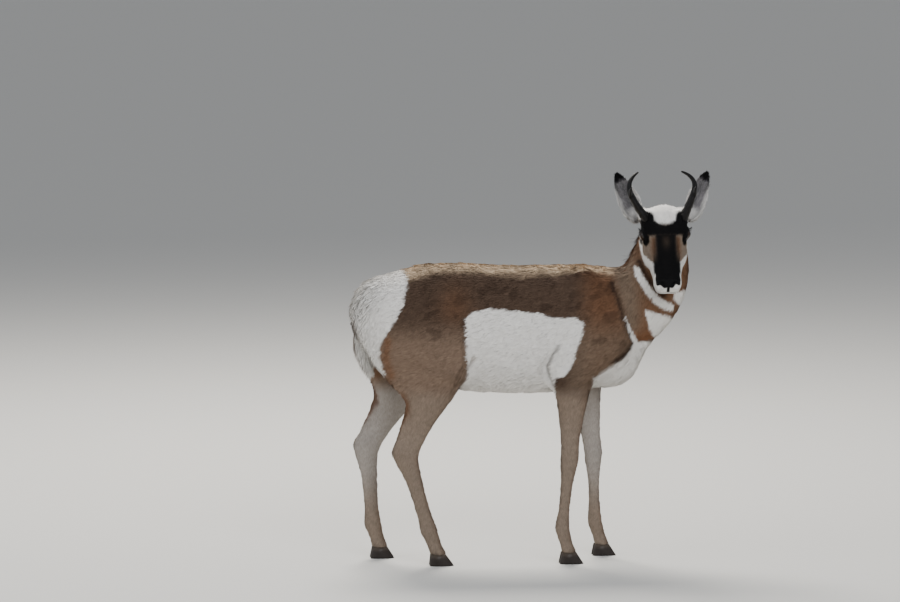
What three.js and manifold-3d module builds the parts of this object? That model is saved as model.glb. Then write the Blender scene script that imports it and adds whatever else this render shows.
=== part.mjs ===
// A standing young pronghorn buck, life size, with its head turned to its right.
// Millimetres. While it is shaped, +X is forward, +Y is the animal's left and Z = 0 is the floor.
import * as THREE from 'three';
import { mergeVertices } from 'three/addons/utils/BufferGeometryUtils.js';
import { MeshoptSimplifier } from 'three/addons/libs/meshopt_simplifier.module.js';
import Module from 'manifold-3d';

const wasm = await Module();
wasm.setup();
await MeshoptSimplifier.ready;

const GAP = 0.3;
const SIDES = { left: 1, right: -1 };

// Driving sizes of the trunk: [x, top of the coat, underside, width].
const TRUNK = [
  [-345, 838, 646, 190],
  [-290, 870, 594, 222],
  [-222, 890, 556, 240],
  [-120, 887, 514, 256],
  [10, 879, 502, 282],
  [130, 879, 502, 276],
  [230, 879, 510, 244],
  [300, 862, 522, 208],
  [352, 836, 552, 172],
];
const RUMP = { centre: [-322, 0, 746], size: [232, 208, 214] };
const BREAST = { centre: [335, 0, 632], size: [176, 176, 216] };

// The neck climbs and curls to the right: [x, y, z, nape to throat, width, twist in degrees].
const NECK = [
  [322, 0, 728, 262, 186, 0],
  [388, 0, 752, 236, 164, 0],
  [444, -5, 800, 200, 140, 8],
  [471, 6, 856, 178, 128, 20],
  [481, 16, 912, 154, 120, 38],
  [484, 8, 958, 126, 110, 60],
  [484, -6, 980, 92, 92, 75],
];

// The head's own frame starts at the poll: x runs to the nose, y to the animal's left, z to the brow.
const HEAD = {
  poll: [481, -18, 1040],
  turn: -92,
  pitch: 50,
  roll: 2,
};
const EYE = { along: 97, out: 55, up: 16, radius: 20.5 };
const NOSTRIL = { along: 278, out: 26, up: 7, size: [30, 13, 15] };
const MOUTH = { centre: [240, -25], reach: 140, slit: 2.4, depth: 5 };
const HORN = { along: 58, out: 55, up: 42, length: 182 };
const EAR = { along: 30, out: 71, up: -16, length: 160, width: 60 };
const TAIL = { root: [-404, 0, 726], length: 150 };
const MANE = { rows: 4, along: 13, length: 56, width: 16, thick: 5, root: 7 };
const TAIL_HAIR = { rows: 4, along: 4, length: 44, width: 15, thick: 5, root: 6 };

// Joints of each leg: [x, y out, z]. The two sides stand differently.
const FRONT_LEG = {
  right: { elbow: [206, 88, 520], knee: [199, 80, 318], fetlock: [178, 76, 106], toe: [207, 75, 0] },
  left: { elbow: [262, 88, 520], knee: [287, 80, 312], fetlock: [293, 76, 104], toe: [322, 75, 0] },
};
const HIND_LEG = {
  right: { stifle: [-166, 96, 590], hock: [-286, 88, 338], fetlock: [-218, 82, 106], toe: [-178, 80, 0] },
  left: { stifle: [-236, 96, 574], hock: [-388, 88, 336], fetlock: [-372, 82, 106], toe: [-342, 80, 0] },
};
const CORONET = 34;
const HOOF = { length: 74, width: 25, spread: 28 };
const LEG_TOP = 486;

const vec = (x, y, z) => new THREE.Vector3(x, y, z);
const lerp = THREE.MathUtils.lerp;
const rad = THREE.MathUtils.degToRad;

function random(seed) {
  let state = seed;
  return () => {
    state = (state * 1664525 + 1013904223) % 4294967296;
    return state / 4294967296;
  };
}

// Fields: a form gives the rough distance of a point from its skin, negative inside.
function blend(a, b, soft) {
  const near = Math.max(soft - Math.abs(a - b), 0) / soft;
  return Math.min(a, b) - near * near * soft / 4;
}

// A sweep through stations of position, depth, width and the direction its width lies in.
function sweep(stations, { soft = 10, steps = 3, cap = 1 } = {}) {
  const spots = new THREE.CatmullRomCurve3(stations.map((s) => s.at), false, 'catmullrom', 0.5);
  const sizes = new THREE.CatmullRomCurve3(
    stations.map((s) => vec(s.depth / 2, s.width / 2, 0)), false, 'catmullrom', 0.5);
  const sides = new THREE.CatmullRomCurve3(
    stations.map((s) => s.across ?? vec(0, 1, 0)), false, 'catmullrom', 0.5);
  const count = (stations.length - 1) * steps;
  const links = [];
  const box = new THREE.Box3();
  for (let i = 0; i < count; i++) {
    const [a, b] = [i / count, (i + 1) / count];
    const from = spots.getPoint(a);
    const to = spots.getPoint(b);
    const axis = to.clone().sub(from);
    const long = axis.length();
    axis.normalize();
    const wide = sides.getPoint((a + b) / 2).normalize();
    wide.addScaledVector(axis, -wide.dot(axis)).normalize();
    const deep = axis.clone().cross(wide);
    const [near, far] = [sizes.getPoint(a), sizes.getPoint(b)];
    links.push({ from, axis, long, wide, deep, near, far });
    box.union(new THREE.Box3().setFromCenterAndSize(from, vec(1, 1, 1).multiplyScalar(near.length() * 2)));
    box.union(new THREE.Box3().setFromCenterAndSize(to, vec(1, 1, 1).multiplyScalar(far.length() * 2)));
  }
  const field = (p) => {
    let best = Infinity;
    for (const link of links) {
      const x = p.x - link.from.x;
      const y = p.y - link.from.y;
      const z = p.z - link.from.z;
      const run = x * link.axis.x + y * link.axis.y + z * link.axis.z;
      const part = Math.min(Math.max(run / link.long, 0), 1);
      const over = run - part * link.long;
      const w = x * link.wide.x + y * link.wide.y + z * link.wide.z;
      const d = x * link.deep.x + y * link.deep.y + z * link.deep.z;
      const rd = lerp(link.near.x, link.far.x, part);
      const rw = lerp(link.near.y, link.far.y, part);
      const re = Math.min(rd, rw) * cap;
      const k0 = Math.sqrt((over / re) ** 2 + (w / rw) ** 2 + (d / rd) ** 2);
      const k1 = Math.sqrt((over / re ** 2) ** 2 + (w / rw ** 2) ** 2 + (d / rd ** 2) ** 2);
      const gap = k1 > 0 ? k0 * (k0 - 1) / k1 : -Math.min(rd, rw);
      best = best === Infinity ? gap : blend(best, gap, soft);
    }
    return best;
  };
  return { field, box };
}

function station(x, y, z, depth, width, across) {
  return { at: vec(x, y, z), depth, width, across };
}

// A muscle between two points, oval in section.
function muscle(from, to, depths, widths, across) {
  const middle = from.map((value, i) => (value + to[i]) / 2);
  return sweep([
    station(...from, depths[0], widths[0], across),
    station(...middle, depths[1], widths[1], across),
    station(...to, depths[2], widths[2], across),
  ], { soft: 6 });
}

function egg(centre, size) {
  const [cx, cy, cz] = centre;
  const [rx, ry, rz] = size.map((value) => value / 2);
  const field = (p) => {
    const k0 = Math.hypot((p.x - cx) / rx, (p.y - cy) / ry, (p.z - cz) / rz);
    const k1 = Math.hypot((p.x - cx) / rx ** 2, (p.y - cy) / ry ** 2, (p.z - cz) / rz ** 2);
    return k1 > 0 ? k0 * (k0 - 1) / k1 : -Math.min(rx, ry, rz);
  };
  return { field, box: new THREE.Box3().setFromCenterAndSize(vec(cx, cy, cz), vec(...size)) };
}

// Forms are joined in order, each with its own softness, and skipped where they are far away.
const REACH = 60;
function joined(forms) {
  const list = forms.map(({ form, soft }) => ({
    field: form.field, soft, box: form.box.clone().expandByScalar(REACH),
  }));
  return (p) => {
    let gap = REACH;
    for (const { field, soft, box } of list) {
      if (box.containsPoint(p)) {
        gap = blend(gap, field(p), soft);
      }
    }
    return gap;
  };
}

// Trunk and the muscles that shape it.
function trunkForms() {
  const ribs = TRUNK.map(([x, top, under, width]) => station(x, 0, (top + under) / 2, top - under, width));
  const forms = [
    { form: sweep(ribs, { soft: 12, cap: 0.6 }), soft: 10 },
    { form: egg(RUMP.centre, RUMP.size), soft: 40 },
    { form: egg(BREAST.centre, BREAST.size), soft: 50 },
  ];
  for (const [side, sign] of Object.entries(SIDES)) {
    const { elbow } = FRONT_LEG[side];
    const { stifle, hock } = HIND_LEG[side];
    const blade = muscle([228, sign * 62, 838], [330, sign * 84, 668], [96, 122, 104], [52, 66, 70]);
    const arm = muscle([338, sign * 82, 652], [elbow[0] + 6, sign * 88, 560], [92, 98, 96], [78, 80, 76]);
    const triceps = muscle(
      [222, sign * 72, 742], [elbow[0] - 12, sign * 90, 552], [96, 118, 92], [70, 84, 66]);
    const haunch = muscle([-268, sign * 64, 792], [-228, sign * 82, 640], [150, 190, 176], [96, 104, 96]);
    const thigh = muscle([-262, sign * 74, 716], [stifle[0] + 6, sign * 88, stifle[2] - 8],
      [200, 196, 128], [96, 102, 92]);
    const ham = muscle([-372, sign * 46, 706], [lerp(hock[0], stifle[0], 0.52), sign * 82, 500],
      [104, 128, 100], [82, 92, 76]);
    forms.push({ form: blade, soft: 40 }, { form: arm, soft: 34 }, { form: triceps, soft: 34 });
    forms.push({ form: haunch, soft: 44 }, { form: thigh, soft: 40 }, { form: ham, soft: 30 });
  }
  return forms;
}

const acrossNeck = (twist) => vec(Math.sin(rad(twist)), Math.cos(rad(twist)), 0);
function neckForm() {
  const stations = NECK.map(([x, y, z, depth, width, twist]) => station(
    x, y, z, depth, width, acrossNeck(twist)));
  return { form: sweep(stations, { soft: 20 }), soft: 46 };
}

// Each leg: sections of [part of the way to the next joint, depth, width].
function frontLegForms(side) {
  const sign = SIDES[side];
  const { elbow, knee, fetlock, toe } = FRONT_LEG[side];
  const between = (a, b, part, depth, width, ahead = 0) => station(
    lerp(a[0], b[0], part) + ahead, sign * lerp(a[1], b[1], part), lerp(a[2], b[2], part), depth, width);
  const column = sweep([
    between(elbow, knee, -0.06, 118, 82),
    between(elbow, knee, 0.2, 90, 64),
    between(elbow, knee, 0.5, 70, 52),
    between(elbow, knee, 0.78, 55, 45),
    between(elbow, knee, 1, 54, 47, 1),
    between(knee, fetlock, 0.16, 47, 40),
    between(knee, fetlock, 0.42, 35, 31),
    between(knee, fetlock, 0.78, 34, 31),
    between(knee, fetlock, 1, 42, 39),
    between(fetlock, toe, 0.38, 35, 38),
    between(fetlock, toe, 0.72, 40, 50),
    between(fetlock, toe, 0.9, 44, 54),
  ], { soft: 6, steps: 2 });
  return [{ form: column, soft: 22 }];
}

function hindLegForms(side) {
  const sign = SIDES[side];
  const { stifle, hock, fetlock, toe } = HIND_LEG[side];
  const between = (a, b, part, depth, width, ahead = 0) => station(
    lerp(a[0], b[0], part) + ahead, sign * lerp(a[1], b[1], part), lerp(a[2], b[2], part), depth, width);
  const gaskin = sweep([
    between(stifle, hock, 0.02, 150, 92, -10),
    between(stifle, hock, 0.3, 132, 84, -14),
    between(stifle, hock, 0.55, 92, 64, -6),
    between(stifle, hock, 0.78, 62, 46, 4),
    between(stifle, hock, 1, 56, 48, 6),
  ], { soft: 8 });
  const tendon = sweep([
    between(stifle, hock, 0.42, 44, 34, -42),
    between(stifle, hock, 0.7, 22, 20, -42),
    between(stifle, hock, 0.96, 30, 26, -26),
  ], { soft: 6 });
  const cannon = sweep([
    between(hock, fetlock, -0.02, 74, 48, -4),
    between(hock, fetlock, 0.14, 64, 44, -3),
    between(hock, fetlock, 0.36, 49, 37),
    between(hock, fetlock, 0.68, 42, 34),
    between(hock, fetlock, 0.88, 43, 36),
    between(hock, fetlock, 1, 49, 42),
    between(fetlock, toe, 0.4, 40, 40),
    between(fetlock, toe, 0.74, 43, 50),
    between(fetlock, toe, 0.9, 46, 54),
  ], { soft: 6, steps: 2 });
  return [{ form: gaskin, soft: 24 }, { form: tendon, soft: 14 }, { form: cannon, soft: 16 }];
}

// The head's frame in the body.
function headMatrix() {
  const turn = rad(HEAD.turn);
  const pitch = rad(HEAD.pitch);
  const ahead = vec(Math.cos(turn) * Math.cos(pitch), Math.sin(turn) * Math.cos(pitch), -Math.sin(pitch));
  const left = vec(-Math.sin(turn), Math.cos(turn), 0);
  const brow = ahead.clone().cross(left);
  const roll = rad(HEAD.roll);
  const side = left.clone().multiplyScalar(Math.cos(roll)).addScaledVector(brow, Math.sin(roll));
  const crown = ahead.clone().cross(side);
  return new THREE.Matrix4().makeBasis(ahead, side, crown).setPosition(...HEAD.poll);
}
const HEAD_FRAME = headMatrix();
const HEAD_INVERSE = HEAD_FRAME.clone().invert();
const onHead = (x, y, z) => vec(x, y, z).applyMatrix4(HEAD_FRAME);

// Skull, jaw and muzzle along the head's own axis: [along, top, underside, width].
const SKULL = [
  [22, 28, -46, 96],
  [40, 41, -52, 114],
  [62, 50, -52, 122],
  [97, 49, -50, 118],
  [132, 40, -44, 100],
  [168, 32, -38, 84],
  [205, 26, -34, 72],
  [240, 22, -32, 70],
  [262, 16, -30, 70],
];
const JAW = [
  [56, -8, -74, 98],
  [92, -20, -80, 104],
  [130, -18, -76, 98],
  [170, -16, -66, 84],
  [210, -14, -54, 70],
  [243, -14, -47, 60],
  [262, -18, -46, 50],
];
function headForms() {
  const outline = (rows) => rows.map(([x, top, under, width]) => station(
    x, 0, (top + under) / 2, top - under, width));
  const forms = [
    { form: sweep(outline(SKULL), { soft: 14, cap: 0.7 }), soft: 6 },
    { form: sweep(outline(JAW), { soft: 12, cap: 0.5 }), soft: 16 },
  ];
  for (const sign of Object.values(SIDES)) {
    const brow = egg([EYE.along - 10, sign * 47, 32], [66, 50, 36]);
    const cheek = egg([EYE.along + 22, sign * 40, -32], [92, 42, 60]);
    const nostril = egg([262, sign * 22, 0], [44, 32, 38]);
    const lip = egg([250, sign * 20, -24], [56, 34, 22]);
    const earRoot = egg([26, sign * 58, 8], [44, 34, 40]);
    const hornRoot = egg([58, sign * 46, 42], [50, 38, 34]);
    forms.push({ form: brow, soft: 14 }, { form: cheek, soft: 22 }, { form: nostril, soft: 10 });
    forms.push({ form: lip, soft: 10 }, { form: earRoot, soft: 14 }, { form: hornRoot, soft: 12 });
  }
  return forms;
}
const headField = joined(headForms());
const SCRATCH = vec(0, 0, 0);
const headInWorld = {
  field: (p) => headField(SCRATCH.copy(p).applyMatrix4(HEAD_INVERSE)),
  box: new THREE.Box3(vec(-20, -90, -100), vec(300, 90, 80)).applyMatrix4(HEAD_FRAME),
};

const bodyField = joined([
  ...trunkForms(),
  neckForm(),
  ...frontLegForms('left'),
  ...frontLegForms('right'),
  ...hindLegForms('left'),
  ...hindLegForms('right'),
  { form: headInWorld, soft: 22 },
]);

// A closed skin of a field inside a box, as a net of one point for each cell that it crosses.
function skin(field, low, high, cell) {
  const size = [0, 1, 2].map((i) => Math.max(2, Math.ceil((high[i] - low[i]) / cell[i])) + 1);
  const step = [0, 1, 2].map((i) => (high[i] - low[i]) / (size[i] - 1));
  const at = (i, j, k) => i + size[0] * (j + size[1] * k);
  const values = new Float64Array(size[0] * size[1] * size[2]);
  const p = vec(0, 0, 0);
  for (let k = 0; k < size[2]; k++) {
    for (let j = 0; j < size[1]; j++) {
      for (let i = 0; i < size[0]; i++) {
        const rim = i === 0 || j === 0 || k === 0
          || i === size[0] - 1 || j === size[1] - 1 || k === size[2] - 1;
        p.set(low[0] + i * step[0], low[1] + j * step[1], low[2] + k * step[2]);
        const value = field(p);
        values[at(i, j, k)] = rim ? Math.max(value, 1) : value;
      }
    }
  }
  const corner = (n) => [n & 1, (n >> 1) & 1, (n >> 2) & 1];
  const points = [];
  const owner = new Int32Array(values.length).fill(-1);
  for (let k = 0; k < size[2] - 1; k++) {
    for (let j = 0; j < size[1] - 1; j++) {
      for (let i = 0; i < size[0] - 1; i++) {
        const sum = [0, 0, 0];
        let crossings = 0;
        for (let a = 0; a < 8; a++) {
          for (let bit = 0; bit < 3; bit++) {
            const b = a | (1 << bit);
            if (b === a) {
              continue;
            }
            const [ca, cb] = [corner(a), corner(b)];
            const va = values[at(i + ca[0], j + ca[1], k + ca[2])];
            const vb = values[at(i + cb[0], j + cb[1], k + cb[2])];
            if ((va < 0) === (vb < 0)) {
              continue;
            }
            const part = va / (va - vb);
            sum[0] += lerp(ca[0], cb[0], part);
            sum[1] += lerp(ca[1], cb[1], part);
            sum[2] += lerp(ca[2], cb[2], part);
            crossings += 1;
          }
        }
        if (crossings > 0) {
          owner[at(i, j, k)] = points.length;
          const whole = [i, j, k];
          points.push(vec(...[0, 1, 2].map((n) => low[n] + (whole[n] + sum[n] / crossings) * step[n])));
        }
      }
    }
  }
  const index = [];
  for (let k = 0; k < size[2] - 1; k++) {
    for (let j = 0; j < size[1] - 1; j++) {
      for (let i = 0; i < size[0] - 1; i++) {
        const here = [i, j, k];
        for (let n = 0; n < 3; n++) {
          const [u, v] = [(n + 1) % 3, (n + 2) % 3];
          if (here[u] === 0 || here[v] === 0) {
            continue;
          }
          const next = [...here];
          next[n] += 1;
          const inside = values[at(...here)] < 0;
          if (inside === values[at(...next)] < 0) {
            continue;
          }
          const cellAt = (du, dv) => {
            const spot = [...here];
            spot[u] -= du;
            spot[v] -= dv;
            return owner[at(...spot)];
          };
          const ring = [cellAt(1, 1), cellAt(0, 1), cellAt(0, 0), cellAt(1, 0)];
          const [q0, q1, q2, q3] = inside ? ring : ring.reverse();
          if (points[q0].distanceTo(points[q2]) < points[q1].distanceTo(points[q3])) {
            index.push(q0, q1, q2, q0, q2, q3);
          } else {
            index.push(q0, q1, q3, q1, q2, q3);
          }
        }
      }
    }
  }
  points.forEach((point) => settle(point, field, Math.min(...step), low, high, step));
  const geometry = new THREE.BufferGeometry();
  geometry.setAttribute('position', new THREE.Float32BufferAttribute(points.flatMap((q) => q.toArray()), 3));
  geometry.setIndex(index);
  return geometry;
}

// Moves a point of the net onto the field's skin, unless it closes the box.
function settle(point, field, reach, low, high, step) {
  const rim = [0, 1, 2].some((n) => {
    const value = point.getComponent(n);
    return value < low[n] + 1.5 * step[n] || value > high[n] - 1.5 * step[n];
  });
  if (rim) {
    return;
  }
  const probe = 0.5;
  const start = point.clone();
  for (let round = 0; round < 3; round++) {
    const value = field(point);
    const slope = vec(
      field(vec(point.x + probe, point.y, point.z)) - value,
      field(vec(point.x, point.y + probe, point.z)) - value,
      field(vec(point.x, point.y, point.z + probe)) - value,
    ).divideScalar(probe);
    const steep = Math.max(slope.lengthSq(), 0.2);
    point.addScaledVector(slope, -value / steep);
    const moved = point.clone().sub(start);
    if (moved.length() > reach * 0.6) {
      point.copy(start).addScaledVector(moved.normalize(), reach * 0.6);
    }
  }
}

// Fewer triangles where the form is even.
function thinned(geometry, triangles) {
  const index = new Uint32Array(geometry.index.array);
  const positions = geometry.attributes.position.array;
  const [kept] = MeshoptSimplifier.simplify(index, positions, 3, triangles * 3, 0.05);
  const result = new THREE.BufferGeometry();
  result.setAttribute('position', new THREE.Float32BufferAttribute(positions, 3));
  result.setIndex([...kept]);
  return result;
}

// Between meshes and solids.
function toSolid(geometry) {
  const bare = geometry.clone();
  bare.deleteAttribute('normal');
  bare.deleteAttribute('uv');
  const merged = mergeVertices(bare, 1e-3);
  return new wasm.Manifold(new wasm.Mesh({
    numProp: 3,
    vertProperties: new Float32Array(merged.attributes.position.array),
    triVerts: new Uint32Array(merged.index.array),
  }));
}

function largest(solid) {
  const pieces = solid.decompose();
  return pieces.reduce((best, piece) => (piece.volume() > best.volume() ? piece : best));
}

function toGeometry(solid) {
  const mesh = solid.getMesh();
  const geometry = new THREE.BufferGeometry();
  geometry.setAttribute('position', new THREE.Float32BufferAttribute(mesh.vertProperties, 3));
  geometry.setIndex([...mesh.triVerts]);
  geometry.computeVertexNormals();
  return geometry;
}

// The same skin moved out by a gap, to cut a neighbour clear of it.
function grown(geometry, gap) {
  const wide = geometry.clone();
  wide.computeVertexNormals();
  const { position, normal } = wide.attributes;
  for (let i = 0; i < position.count; i++) {
    position.setXYZ(i,
      position.getX(i) + normal.getX(i) * gap,
      position.getY(i) + normal.getY(i) * gap,
      position.getZ(i) + normal.getZ(i) * gap);
  }
  return wide;
}

// All that lies on the far side of a plane, as a big block.
const VAST = 3000;
function beyond(point, normal) {
  const block = new THREE.BoxGeometry(VAST, VAST, VAST);
  const turn = new THREE.Quaternion().setFromUnitVectors(vec(0, 0, 1), normal.clone().normalize());
  block.applyMatrix4(new THREE.Matrix4().compose(
    point.clone().addScaledVector(normal.clone().normalize(), VAST / 2), turn, vec(1, 1, 1)));
  return toSolid(block);
}

function cutOff(solid, point, normal) {
  const flip = normal.clone().normalize();
  return solid.subtract(beyond(point.clone().addScaledVector(flip, -GAP / 2), flip));
}

// Rings of points joined into one closed skin.
function loft(rings, { capped = true } = {}) {
  const sides = rings[0].length;
  const positions = rings.flat().flatMap((q) => q.toArray());
  const index = [];
  for (let r = 0; r < rings.length - 1; r++) {
    for (let s = 0; s < sides; s++) {
      const a = r * sides + s;
      const b = r * sides + (s + 1) % sides;
      index.push(a, b, b + sides, a, b + sides, a + sides);
    }
  }
  if (capped) {
    for (const [start, turn] of [[0, true], [(rings.length - 1) * sides, false]]) {
      for (let s = 1; s < sides - 1; s++) {
        index.push(...(turn ? [start, start + s + 1, start + s] : [start, start + s, start + s + 1]));
      }
    }
  }
  const geometry = new THREE.BufferGeometry();
  geometry.setAttribute('position', new THREE.Float32BufferAttribute(positions, 3));
  geometry.setIndex(index);
  return geometry;
}

function ring(centre, axis, wide, rw, rd, sides) {
  const ahead = axis.clone().normalize();
  const w = wide.clone().addScaledVector(ahead, -wide.dot(ahead)).normalize();
  const d = ahead.clone().cross(w);
  return Array.from({ length: sides }, (_, n) => {
    const angle = n / sides * 2 * Math.PI;
    return centre.clone().addScaledVector(w, rw * Math.cos(angle)).addScaledVector(d, rd * Math.sin(angle));
  });
}

// A horn rises over the eye, spreads, and hooks in and back at its tip.
// Each point is [back from the base, up], as parts of the horn's length, and the spread goes out.
const HORN_PATH = [
  [0.05, -0.16], [0, 0], [-0.03, 0.21], [-0.04, 0.44], [-0.01, 0.58], [0.03, 0.69], [0.06, 0.75],
];
const HORN_SPREAD = {
  right: [-0.05, 0, 0.15, 0.27, 0.27, 0.2, 0.12],
  left: [-0.05, 0, 0.09, 0.17, 0.175, 0.09, -0.03],
};
const HORN_SIZES = [[27, 47], [26, 45], [22, 40], [17, 31], [13, 22], [9, 14], [4, 6]];
function hornSolid(sign) {
  const base = onHead(HORN.along, sign * HORN.out, HORN.up);
  const spread = sign > 0 ? HORN_SPREAD.left : HORN_SPREAD.right;
  const path = new THREE.CatmullRomCurve3(HORN_PATH.map(([back, up], n) => base.clone().add(
    vec(sign * spread[n], back, up).multiplyScalar(HORN.length))));
  const sizes = new THREE.CatmullRomCurve3(HORN_SIZES.map(([wide, deep]) => vec(wide / 2, deep / 2, 0)));
  const count = 14;
  const rings = [];
  for (let n = 0; n <= count; n++) {
    const t = n / count;
    const size = sizes.getPoint(t);
    rings.push(ring(path.getPoint(t), path.getTangent(t), vec(1, 0, 0), size.x, size.y, 10));
  }
  const shaft = toSolid(loft(rings));
  const budAt = path.getPoint(0.5);
  const bud = [0, 0.4, 0.8, 1].map((t) => ring(
    budAt.clone().add(vec(0, -8 - 26 * t, -6 + 18 * t)), vec(0, -1, 0.45), vec(1, 0, 0),
    lerp(7, 1.6, t), lerp(17, 2.5, t), 8));
  return shaft.add(toSolid(loft(bud)));
}

// An ear: a leaf-shaped cup, thin at its rim and rolled together at its root.
function earSolid(sign) {
  const root = onHead(EAR.along, sign * EAR.out, EAR.up);
  const rise = vec(sign * 0.42, 0.16, 0.9).normalize();
  const face = vec(sign * 0.26, -0.96, 0.1);
  face.addScaledVector(rise, -face.dot(rise)).normalize();
  const across = rise.clone().cross(face).multiplyScalar(-sign);
  const rows = 12;
  const columns = 8;
  const inner = [];
  const outer = [];
  for (let r = 0; r <= rows; r++) {
    const t = r / rows;
    const half = 2.5 + (EAR.width / 2 - 2.5) * Math.sin(Math.PI * (0.02 + 0.97 * t) ** 0.82) ** 0.75;
    const curl = lerp(2.4, 0.7, t ** 0.5);
    const bow = 14 * Math.sin(Math.PI * t * 0.9);
    const wall = lerp(3, 1.2, t);
    for (let c = 0; c <= columns; c++) {
      const angle = (c / columns - 0.5) * 2 * curl;
      const radius = half / Math.max(Math.sin(Math.min(curl, Math.PI / 2)), 0.5);
      const flatness = Math.sin(angle) * radius;
      const hollow = (Math.cos(angle) - 1) * radius;
      const spot = root.clone()
        .addScaledVector(rise, t * EAR.length)
        .addScaledVector(across, flatness)
        .addScaledVector(face, -hollow - bow - 8);
      const out = across.clone().multiplyScalar(Math.sin(angle)).addScaledVector(face, -Math.cos(angle));
      inner.push(spot.clone().addScaledVector(out, -wall / 2));
      outer.push(spot.clone().addScaledVector(out, wall / 2));
    }
  }
  const wide = columns + 1;
  const positions = [...inner, ...outer].flatMap((q) => q.toArray());
  const back = inner.length;
  const index = [];
  const quad = (a, b, c, d) => index.push(a, b, c, a, c, d);
  for (let r = 0; r < rows; r++) {
    for (let c = 0; c < columns; c++) {
      const a = r * wide + c;
      quad(a, a + 1, a + wide + 1, a + wide);
      quad(back + a, back + a + wide, back + a + wide + 1, back + a + 1);
    }
    const left = r * wide;
    const right = r * wide + columns;
    quad(left, left + wide, back + left + wide, back + left);
    quad(right, back + right, back + right + wide, right + wide);
  }
  for (let c = 0; c < columns; c++) {
    const top = rows * wide + c;
    quad(c, back + c, back + c + 1, c + 1);
    quad(top, top + 1, back + top + 1, back + top);
  }
  const geometry = new THREE.BufferGeometry();
  geometry.setAttribute('position', new THREE.Float32BufferAttribute(positions, 3));
  geometry.setIndex(index);
  const solid = toSolid(geometry);
  return solid.volume() > 0 ? solid : toSolid(flipped(geometry));
}

function flipped(geometry) {
  const turned = geometry.clone();
  const index = [...turned.index.array];
  for (let i = 0; i < index.length; i += 3) {
    [index[i], index[i + 1]] = [index[i + 1], index[i]];
  }
  turned.setIndex(index);
  return turned;
}

// An oval ball set in the head's frame, turned about the head's own up and left axes.
function ballOnHead(centre, size, yaw = 0, tilt = 0, detail = 2) {
  const ball = new THREE.IcosahedronGeometry(1, detail);
  ball.applyMatrix4(new THREE.Matrix4().compose(
    vec(...centre), new THREE.Quaternion().setFromEuler(new THREE.Euler(0, rad(tilt), rad(yaw), 'ZYX')),
    vec(...size).divideScalar(2)));
  return ball.applyMatrix4(HEAD_FRAME);
}

function eyeCentre(sign) {
  return [EYE.along, sign * EYE.out, EYE.up];
}

// The eye looks out and a little ahead, and the slit of the lids dips towards the nose.
function eyeAxes(sign) {
  const out = vec(0.3, sign * 0.93, 0.2).normalize();
  const long = vec(0.93, -sign * 0.28, -0.2);
  long.addScaledVector(out, -long.dot(out)).normalize();
  return { out, long, rise: out.clone().cross(long).multiplyScalar(-sign) };
}

// One closed roll of skin round the eye: thicker over it than under it.
function lidSolid(sign) {
  const { out, long, rise } = eyeAxes(sign);
  const centre = vec(...eyeCentre(sign));
  const steps = 20;
  const around = 6;
  const rim = (n) => {
    const angle = n / steps * 2 * Math.PI;
    const across = Math.sin(angle) * (Math.sin(angle) > 0 ? 0.56 : 0.48);
    return out.clone().multiplyScalar(0.7)
      .addScaledVector(long, Math.cos(angle) * 0.9)
      .addScaledVector(rise, across)
      .normalize().multiplyScalar(EYE.radius + 0.8).add(centre);
  };
  const rings = Array.from({ length: steps }, (_, n) => {
    const spot = rim(n);
    const outward = spot.clone().sub(centre);
    const thick = 2.8 + 1.4 * Math.max(0, Math.sin(n / steps * 2 * Math.PI));
    return ring(spot, rim(n + 1).sub(rim(n - 1)), outward, thick, thick * 1.2, around);
  });
  const geometry = hoop(rings).applyMatrix4(HEAD_FRAME);
  const solid = toSolid(geometry);
  return solid.volume() > 0 ? solid : toSolid(flipped(geometry));
}

// Rings joined into a closed hoop.
function hoop(rings) {
  const sides = rings[0].length;
  const count = rings.length;
  const index = [];
  for (let r = 0; r < count; r++) {
    for (let s = 0; s < sides; s++) {
      const a = r * sides + s;
      const b = r * sides + (s + 1) % sides;
      const c = ((r + 1) % count) * sides + (s + 1) % sides;
      const d = ((r + 1) % count) * sides + s;
      index.push(a, b, c, a, c, d);
    }
  }
  const geometry = new THREE.BufferGeometry();
  const places = rings.flat().flatMap((q) => q.toArray());
  geometry.setAttribute('position', new THREE.Float32BufferAttribute(places, 3));
  geometry.setIndex(index);
  return geometry;
}

// The line of the mouth: a slit that follows the lips from corner to corner.
function mouthCutter() {
  const steps = 24;
  const rings = [];
  for (let n = 0; n <= steps; n++) {
    const angle = rad(lerp(-MOUTH.reach, MOUTH.reach, n / steps));
    const rise = 3.5 * (1 - Math.cos(angle));
    const ahead = vec(Math.cos(angle), Math.sin(angle), 0);
    const height = MOUTH.centre[1] + rise;
    const spot = vec(MOUTH.centre[0], 0, height);
    while (headField(spot) < 0) {
      spot.addScaledVector(ahead, 0.5);
    }
    const thin = MOUTH.slit / 2 * Math.min(1, 4 * Math.min(n, steps - n) / steps + 0.2);
    const deep = spot.clone().addScaledVector(ahead, -MOUTH.depth);
    const far = spot.clone().addScaledVector(ahead, 6);
    rings.push([
      deep.clone().setZ(height - thin * 0.4),
      far.clone().setZ(height - thin * 1.6),
      far.clone().setZ(height + thin * 1.6),
      deep.clone().setZ(height + thin * 0.4),
    ]);
  }
  const geometry = loft(rings).applyMatrix4(HEAD_FRAME);
  const solid = toSolid(geometry);
  return solid.volume() > 0 ? solid : toSolid(flipped(geometry));
}

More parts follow.
